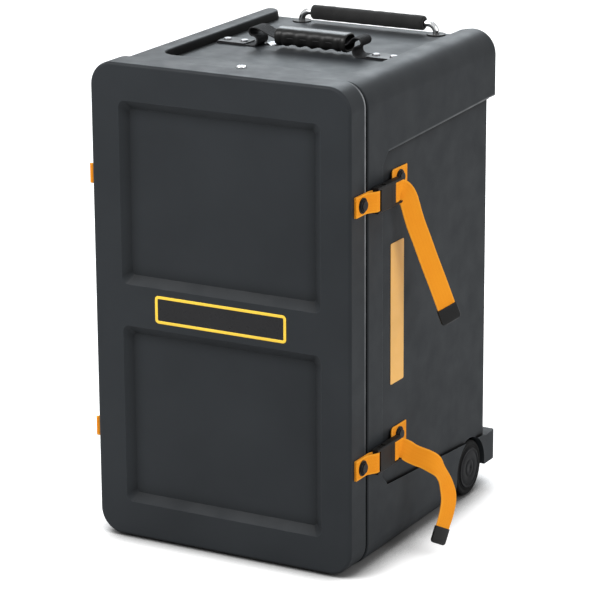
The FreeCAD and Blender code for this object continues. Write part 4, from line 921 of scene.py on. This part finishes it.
def screw_head(radius, height, x, y, z, side, hollow=1.6, rings=16, count=48):
    """A low round head with a cross cut into it, on the plane x, facing outwards.

    The height is that of a flat dome, less the depth of the cross where both the
    distance to one arm's middle line is small and the radius is short.
    """
    r = np.linspace(0, radius, rings)[::-1]
    t = np.linspace(0, 2 * np.pi, count, endpoint=False)
    rr, tt = np.meshgrid(r, t, indexing="ij")
    share_out = rr / radius
    rise = height * np.sqrt(np.clip(1 - share_out ** 3.2, 0, 1))
    a, b = rr * np.cos(tt), rr * np.sin(tt)
    arm = np.minimum(np.abs(a), np.abs(b))
    inside = np.clip((0.75 - arm) / 0.35, 0, 1) * np.clip((radius * 0.62 - rr) / 0.5, 0, 1)
    rise = rise - hollow * inside
    grid = np.stack([x + side * rise, y + a, z + b], -1).reshape(-1, 3)
    faces = grid_quads(rings, count)
    return grid, faces[:, ::-1] if side > 0 else faces


def washer(radius, hole, thick, x, y, z, side, count=48):
    """A thin ring with rounded rims: a profile of height over radius turned about x."""
    edge = min(thick * 0.45, 0.5)
    profile = np.array([
        (0, hole), (thick - edge, hole), (thick, hole + edge), (thick, radius - 2 * edge),
        (thick - edge * 0.3, radius - edge * 0.6), (thick - edge, radius), (0, radius)])
    profile[:, 0] = x + side * profile[:, 0]
    grid = turned(profile, y, z, count)
    return grid.reshape(-1, 3), grid_quads(len(profile), count)


class DRUMCASE_OT_bolts(CasePiece, bpy.types.Operator):
    """Strap bolts with washers, and the plug and rivets on the top"""
    bl_idname = "drumcase.bolts"
    bl_label = "Bolts and rivets"

    def execute(self, context):
        groups = (
            ("tab_bolts", "lid", LID_HALF + 3.3, 24.0, 0.0),
            ("anchor_bolts", "case", SIDE_HALF + 1.6, 131.0, ANCHOR_RISE))
        for name, body, skin, depth, rise in groups:
            points, faces, count = [], [], 0
            for _, side in SIDES:
                for _, height in ROWS:
                    y, z = y_at(depth), height + rise
                    shapes = (
                        washer(9.0, 2.0, 1.2, side * skin, y, z, side),
                        screw_head(7.2, 2.4, side * (skin + 1.2), y, z, side))
                    for grid, quads in shapes:
                        points.append(grid)
                        faces.append(quads + count)
                        count += len(grid)
            put(name + "_heads", np.vstack(points), faces, finish("black_steel"), body)
        cover(("tab_bolts", "anchor_bolts", "carry_plates"), "black_steel")
        cover(("rim_rivet", "vent_plug", "clamp_rivets"), "bright_steel")
        cover(("carry_rivets",), "worn_steel")
        return {"FINISHED"}


class DRUMCASE_OT_carry_handle(CasePiece, bpy.types.Operator):
    """Folded strap and moulded grip of the carry handle"""
    bl_idname = "drumcase.carry_handle"
    bl_label = "Carry handle"

    def execute(self, context):
        width = settings().sizes.handle_strap_width / MM
        level = POCKET_FLOOR + 14.8
        line = np.vstack([handle_half(-1, level)[::-1] * (-1, 1), handle_half(1, level)])
        ones = np.ones(len(line))
        path = np.column_stack([
            line[:, 0], HANDLE_Y * ones, line[:, 1], 0 * ones, ones, 0 * ones])
        points, faces, uv = strap_mesh(path, width, 1.6, 0.1, 1.0)
        strap = put("carry_handle_strap", points, faces, finish("handle_webbing"), None,
                    ["carry_strap"], uv)
        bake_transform(strap)
        grip_points, grip_faces = grip_shape(level)
        put("carry_handle_grip", grip_points, grip_faces, finish("grip_plastic"),
            "carry_handle", ["carry_grip"])
        return {"FINISHED"}


def handle_half(side, level):
    """The handle strap's line on one side: out of the grip, back in an S, then riveted flat."""
    low = POCKET_FLOOR + 0.8
    upper, lower, reach = 5.0, 6.5, 73.0
    middle = low + 2 * lower
    grip_end = GRIP_HALF + side * GRIP_MIDDLE
    line = [(20.0, level), (grip_end - 6.0, level), (grip_end + 1.5, level),
            (reach - upper, middle + 2 * upper)]
    line += arc(reach, middle + upper, upper, 90, -90, 13).tolist()
    line += arc(reach, low + lower, lower, 90, 270, 13)[1:].tolist()
    line += [(reach + 5, low), (100, low), (124, low)]
    return np.array(line)


def grip_shape(level):
    """A hollow moulded grip with finger lands in front and below.

    Around its length the section is a flattened ring. All but its top is pushed in
    between the lands by a cosine wave along the length, and both ends are rounded.
    """
    half = GRIP_HALF
    u = np.linspace(-half, half, 170)
    t = np.linspace(0, 2 * np.pi, 56, endpoint=False)
    uu, tt = np.meshgrid(u, t, indexing="ij")
    c, s = np.cos(tt), np.sin(tt)
    wide, tall, power = 14.9, 11.8, 2.5
    r = (np.abs(c / wide) ** power + np.abs(s / tall) ** power) ** (-1 / power)
    wave = 0.5 + 0.5 * np.cos(2 * np.pi * uu / GRIP_PITCH)
    lower = np.clip(0.75 - s, 0, 1)
    inner_part = np.clip((half - 5 - np.abs(uu)) / 4, 0, 1)
    r = r - 2.2 * (1 - wave ** 1.5) * lower * inner_part
    end = np.clip((np.abs(uu) - (half - 2.5)) / 2.5, 0, 1)
    r = r - 1.3 * (1 - np.sqrt(np.clip(1 - end ** 2, 0, 1)))
    outer = np.stack([GRIP_MIDDLE + uu, HANDLE_Y + r * c, level + r * s], -1)
    bore = (np.abs(np.cos(t) / 13.3) ** power + np.abs(np.sin(t) / 9.4) ** power) ** (-1 / power)
    ends = []
    for sign in (1, -1):
        depth = np.array([0.0, 1.0, 14.0, 15.0])[:, None]
        radius = np.vstack([bore * 0.98, bore * 0.93, bore * 0.9, bore * 0.02])
        ends.append(np.stack([
            GRIP_MIDDLE + sign * (half - depth) + 0 * radius, HANDLE_Y + radius * np.cos(t),
            level + radius * np.sin(t)], -1))
    grid = np.vstack([ends[1][::-1], outer, ends[0]])
    rows, columns = grid.shape[:2]
    caps = [np.arange(columns), np.arange(columns) + (rows - 1) * columns]
    return grid.reshape(-1, 3), [grid_quads(rows, columns), *caps]


class DRUMCASE_OT_pull_handle(CasePiece, bpy.types.Operator):
    """Chromed rod, its foam sleeve, feet, tubes and clamps"""
    bl_idname = "drumcase.pull_handle"
    bl_label = "Pull handle"

    def execute(self, context):
        low, high = box_mm("foam_grip")
        half = (high[0] - low[0]) / 2
        y, z = (low[1] + high[1]) / 2, (low[2] + high[2]) / 2
        radius = (high[2] - low[2]) / 2
        edge = settings().sizes.foam_round / MM
        bend = arc(half - edge, radius - edge, edge, 90, 0, 6)
        side = np.vstack([
            np.column_stack([np.linspace(0, half - edge, 40)[1:-1], np.full(38, radius)]), bend,
            [(half, 6.0), (half - 0.2, 4.5), (half - 1.0, 4.05)]])
        profile = np.vstack([side[::-1] * (-1, 1), [(0, radius)], side])

        def uneven(x, r, t):
            soft = 0.12 * np.sin(x * 0.21) * np.cos(2 * t + x * 0.05) + 0.1 * np.sin(x * 0.37 + t)
            return x, r + soft * (r > 8.5) - 0.2 * (r > 8.5)

        grid = turned(profile, y, z, 48, uneven)
        piece = put("foam_sleeve", grid.reshape(-1, 3), [grid_quads(len(profile), 48, True)],
                    finish("grip_foam"), "pull_handle", ["foam_grip"])
        cover(("pull_bar",), "rod_chrome")
        cover(("guide_tube_left", "guide_tube_right", "tube_clamps"), "tube_metal")
        cover(("rod_feet", "tube_bezels"), "buckle_plastic")
        return {"FINISHED"}


class DRUMCASE_OT_wheels(CasePiece, bpy.types.Operator):
    """Grooved tyres on hubs, with covers, bushes, axle and caps"""
    bl_idname = "drumcase.wheels"
    bl_label = "Wheels"

    def execute(self, context):
        depth = settings().sizes.tread_depth / MM
        for name, _ in SIDES:
            low, high = box_mm("tyre_" + name)
            y, z = (low[1] + high[1]) / 2, (low[2] + high[2]) / 2
            x0, x1 = low[0], high[0]
            radius, bore, crown = (high[2] - low[2]) / 2, 27.0, 4.0
            middle, half = (x0 + x1) / 2, (x1 - x0) / 2
            tread = np.column_stack([np.linspace(-(half - crown), half - crown, 41),
                                     np.full(41, radius)])
            near = arc(-(half - crown), radius - crown, crown, 180, 90, 9)
            far = arc(half - crown, radius - crown, crown, 90, 0, 9)
            walls = np.array([(half, 31.0), (half - 0.6, 30.2), (half - 0.6, 28.4), (half, 27.6)])
            profile = np.vstack([
                [(-half, bore)], walls[::-1] * (-1, 1), near[:-1], tread, far[1:], walls,
                [(half, bore)]])
            profile[:, 0] += middle

            def tread_cut(x, r, t, middle=middle, half=half):
                u = x - middle
                rings = np.exp(-((np.abs(u) - 5.0) / 0.8) ** 2)
                wave = np.sin(36 * t + np.sign(u) * np.abs(u) * 0.35)
                band = (np.abs(u) > 6.4) * (np.abs(u) < 13.6)
                blocks = np.clip((wave - 0.72) / 0.2, 0, 1) * band
                return x, r - depth * np.maximum(rings, blocks) * (r > radius - 0.8)

            grid = turned(profile, y, z, 288, tread_cut)
            put("tyre_" + name + "_tread", grid.reshape(-1, 3),
                [grid_quads(len(profile), 288, True)], finish("tyre_rubber"),
                "wheel_" + name, ["tyre_" + name])
            hub = merged_copy("hub_" + name, "hub_" + name + "_moulded")
            dress(hub, finish("hub_plastic"), "wheel_" + name, ["hub_" + name])
            soften(hub, 0.4 * MM, 2, 35)
        self.covers()
        cover(("bush_left", "bush_right"), "bush_plastic")
        cover(("axle",), "bright_steel")
        cover(("axle_caps",), "hub_plastic")
        return {"FINISHED"}

    def covers(self):
        """A turned plastic cover in each wheel's outer face, resting on the hub's rim."""
        profile = np.array([
            (-0.6, 0.02), (-0.6, 22.4), (0.0, 22.9), (0.0, 26.2), (0.5, 26.5), (1.0, 26.1),
            (1.3, 25.2), (1.3, 24.4), (0.6, 23.2), (0.5, 22.2), (0.9, 21.0), (1.1, 12.4),
            (0.7, 11.4), (0.7, 10.6), (1.3, 9.6), (1.4, 8.0), (1.4, 0.02)])
        for name, side in SIDES:
            low, high = box_mm("hub_" + name)
            y, z = (low[1] + high[1]) / 2, (low[2] + high[2]) / 2
            outer = high[0] if side > 0 else low[0]
            shape = np.column_stack([outer + side * profile[:, 0], profile[:, 1]])
            grid = turned(shape, y, z, 96)
            faces = [grid_quads(len(shape), 96, True)]
            put("wheel_cover_" + name, grid.reshape(-1, 3), faces, finish("hub_plastic"),
                "wheel_" + name)


class DRUMCASE_OT_labels(CasePiece, bpy.types.Operator):
    """Blank badge with its border, and the blank strip on the side"""
    bl_idname = "drumcase.labels"
    bl_label = "Blank badge and label"

    def execute(self, context):
        sizes = settings().sizes
        low, high = box_mm("badge_plate")
        half_x, half_z = (high[0] - low[0]) / 2, (high[2] - low[2]) / 2
        z = (low[2] + high[2]) / 2
        width, proud = sizes.border_width / MM, sizes.border_proud / MM
        rings = []
        for inset, lift in ((0.15, -0.2), (0.15, proud * 0.6), (0.5, proud), (width - 0.35, proud),
                            (width, proud * 0.6), (width, -0.2)):
            outline = rounded_rectangle(half_x - inset, half_z - inset, max(5.0 - inset, 1.2), 8)
            rings.append(np.column_stack([
                outline[:, 0], np.full(len(outline), low[1] - lift), z + outline[:, 1]]))
        rings = np.array(rings)
        rows, columns = rings.shape[:2]
        put("badge_border", rings.reshape(-1, 3), [grid_quads(rows, columns, True)],
            finish("border_film"), "lid")
        cover(("badge_plate",), "badge_film")
        cover(("side_label",), "label_film")
        return {"FINISHED"}


class DRUMCASE_OT_stage(CasePiece, bpy.types.Operator):
    """Pale floor, soft studio light and the camera"""
    bl_idname = "drumcase.stage"
    bl_label = "Stage"

    def execute(self, context):
        scene = context.scene
        stage = settings().stage
        scene.view_settings.view_transform = "Standard"
        floor_mesh = bpy.data.meshes.new("floor")
        floor_mesh.from_pydata(
            [(-9, -9, 0), (9, -9, 0), (9, 9, 0), (-9, 9, 0)], [], [(0, 1, 2, 3)])
        floor = bpy.data.objects.new("floor", floor_mesh)
        scene.collection.objects.link(floor)
        floor_mesh.materials.append(floor_finish())
        scene.world = room(stage.room_light)
        lamp("key_lamp", (-0.8, -1.5, 1.9), (0, -0.2, 0.55), 1.3, 42 * stage.key)
        lamp("fill_lamp", (3.0, -0.6, 1.9), (0, 0, 0.3), 2.2, 40 * stage.fill)
        lamp("back_lamp", (-0.9, 2.2, 2.25), (0, 0, 0.6), 1.9, 62 * stage.key, LAMP_COOL)
        place_camera(scene, stage)
        return {"FINISHED"}


def seen_directly(tree):
    """One where a camera, glossy or transmission ray meets the surface."""
    path = node(tree, "ShaderNodeLightPath").outputs
    most = sums(tree, "MAXIMUM", path["Is Camera Ray"], path["Is Glossy Ray"])
    return sums(tree, "MAXIMUM", most, path["Is Transmission Ray"])


def room(level):
    """Even light of the given level that is plain white where it is seen."""
    world = bpy.data.worlds.new("room")
    world.use_nodes = True
    tree = world.node_tree
    strength = spread(tree, seen_directly(tree), 0.0, 1.0, level, 1.0)
    background = tree.nodes["Background"]
    background.inputs["Color"].default_value = (1, 1, 1, 1)
    tree.links.new(strength, background.inputs["Strength"])
    return world


def floor_finish():
    """Matt white that keeps the contact shadow and is lifted to white where it is seen.
    Near the object a painted contact shadow darkens its colour and fades the lift.
    """
    made, tree, shader = material("floor_paper", 0.9, specular=0.0)
    place = object_place(tree)
    clear = openness(tree, 0.06, 0.42, 0.82, False)
    tone = spread(tree, noise(tree, place, 30.0, 3.0), 0.3, 0.7, 0.62, 0.64)
    # Painted contact shadow: the colour is darkened where the floor is closed in by the object.
    tone = sums(tree, "MULTIPLY", tone, spread(tree, clear, 0.0, 1.0, 0.35, 1.0))
    shade = node(tree, "ShaderNodeCombineXYZ", {"X": tone, "Y": tone, "Z": tone}).outputs[0]
    tree.links.new(shade, shader.inputs["Base Color"])
    shader.inputs["Emission Color"].default_value = (1, 1, 1, 1)
    glossy = node(tree, "ShaderNodeLightPath").outputs["Is Glossy Ray"]
    strength = spread(tree, glossy, 0.0, 1.0, 0.72, 0.30)
    lift = sums(tree, "MULTIPLY", sums(tree, "MULTIPLY", seen_directly(tree), strength), clear)
    tree.links.new(lift, shader.inputs["Emission Strength"])
    return made


def lamp(name, place, target, size, power, colour=(1, 1, 1)):
    data = bpy.data.lights.new(name, "AREA")
    data.color = colour
    data.shape = "DISK"
    data.size = size
    data.energy = power
    made = bpy.data.objects.new(name, data)
    bpy.context.scene.collection.objects.link(made)
    made.location = place
    made.rotation_euler = (Vector(target) - Vector(place)).to_track_quat("-Z", "Y").to_euler()
    return made


def place_camera(scene, stage):
    """Looks at the target from the azimuth and elevation, then turns by the roll."""
    data = bpy.data.cameras.new("camera")
    data.sensor_width = 36
    data.lens = stage.focal
    data.clip_end = 50
    camera = bpy.data.objects.new("camera", data)
    scene.collection.objects.link(camera)
    az, el, roll = stage.azimuth, stage.elevation, stage.roll
    back = Vector((math.sin(az) * math.cos(el), -math.cos(az) * math.cos(el), math.sin(el)))
    right = Vector((math.cos(az), math.sin(az), 0))
    up = back.cross(right)
    turned_right = right * math.cos(roll) + up * math.sin(roll)
    turned_up = up * math.cos(roll) - right * math.sin(roll)
    turn = Matrix((turned_right, turned_up, back)).transposed().to_4x4()
    camera.matrix_world = Matrix.Translation(
        Vector(stage.target) + back * stage.distance) @ turn
    scene.camera = camera


class DRUMCASE_PT_panel(bpy.types.Panel):
    """Lists the pieces of the case in the sidebar"""
    bl_label = "Drum case"
    bl_idname = "DRUMCASE_PT_panel"
    bl_space_type = "VIEW_3D"
    bl_region_type = "UI"
    bl_category = "Drum case"

    def draw(self, context):
        for operator in OPERATORS:
            self.layout.operator(operator.bl_idname)
        case = context.scene.drum_case
        for group in (case.colours, case.sizes, case.finish, case.stage):
            box = self.layout.box()
            for name in group.bl_rna.properties.keys():
                if name not in ("rna_type", "name"):
                    box.prop(group, name)


OPERATORS = (
    DRUMCASE_OT_shells, DRUMCASE_OT_lining, DRUMCASE_OT_straps, DRUMCASE_OT_buckles,
    DRUMCASE_OT_bolts, DRUMCASE_OT_carry_handle, DRUMCASE_OT_pull_handle, DRUMCASE_OT_wheels,
    DRUMCASE_OT_labels, DRUMCASE_OT_stage)
CLASSES = (
    CaseColours, CaseSizes, CaseFinish, StageSettings, CaseSettings, *OPERATORS,
    DRUMCASE_PT_panel)


def register():
    for each in CLASSES:
        bpy.utils.register_class(each)
    bpy.types.Scene.drum_case = bpy.props.PointerProperty(type=CaseSettings)


def unregister():
    del bpy.types.Scene.drum_case
    for each in reversed(CLASSES):
        bpy.utils.unregister_class(each)


def main():
    register()
    for operator in OPERATORS:
        group, name = operator.bl_idname.split(".")
        getattr(getattr(bpy.ops, group), name)()


if __name__ == "__main__":
    main()
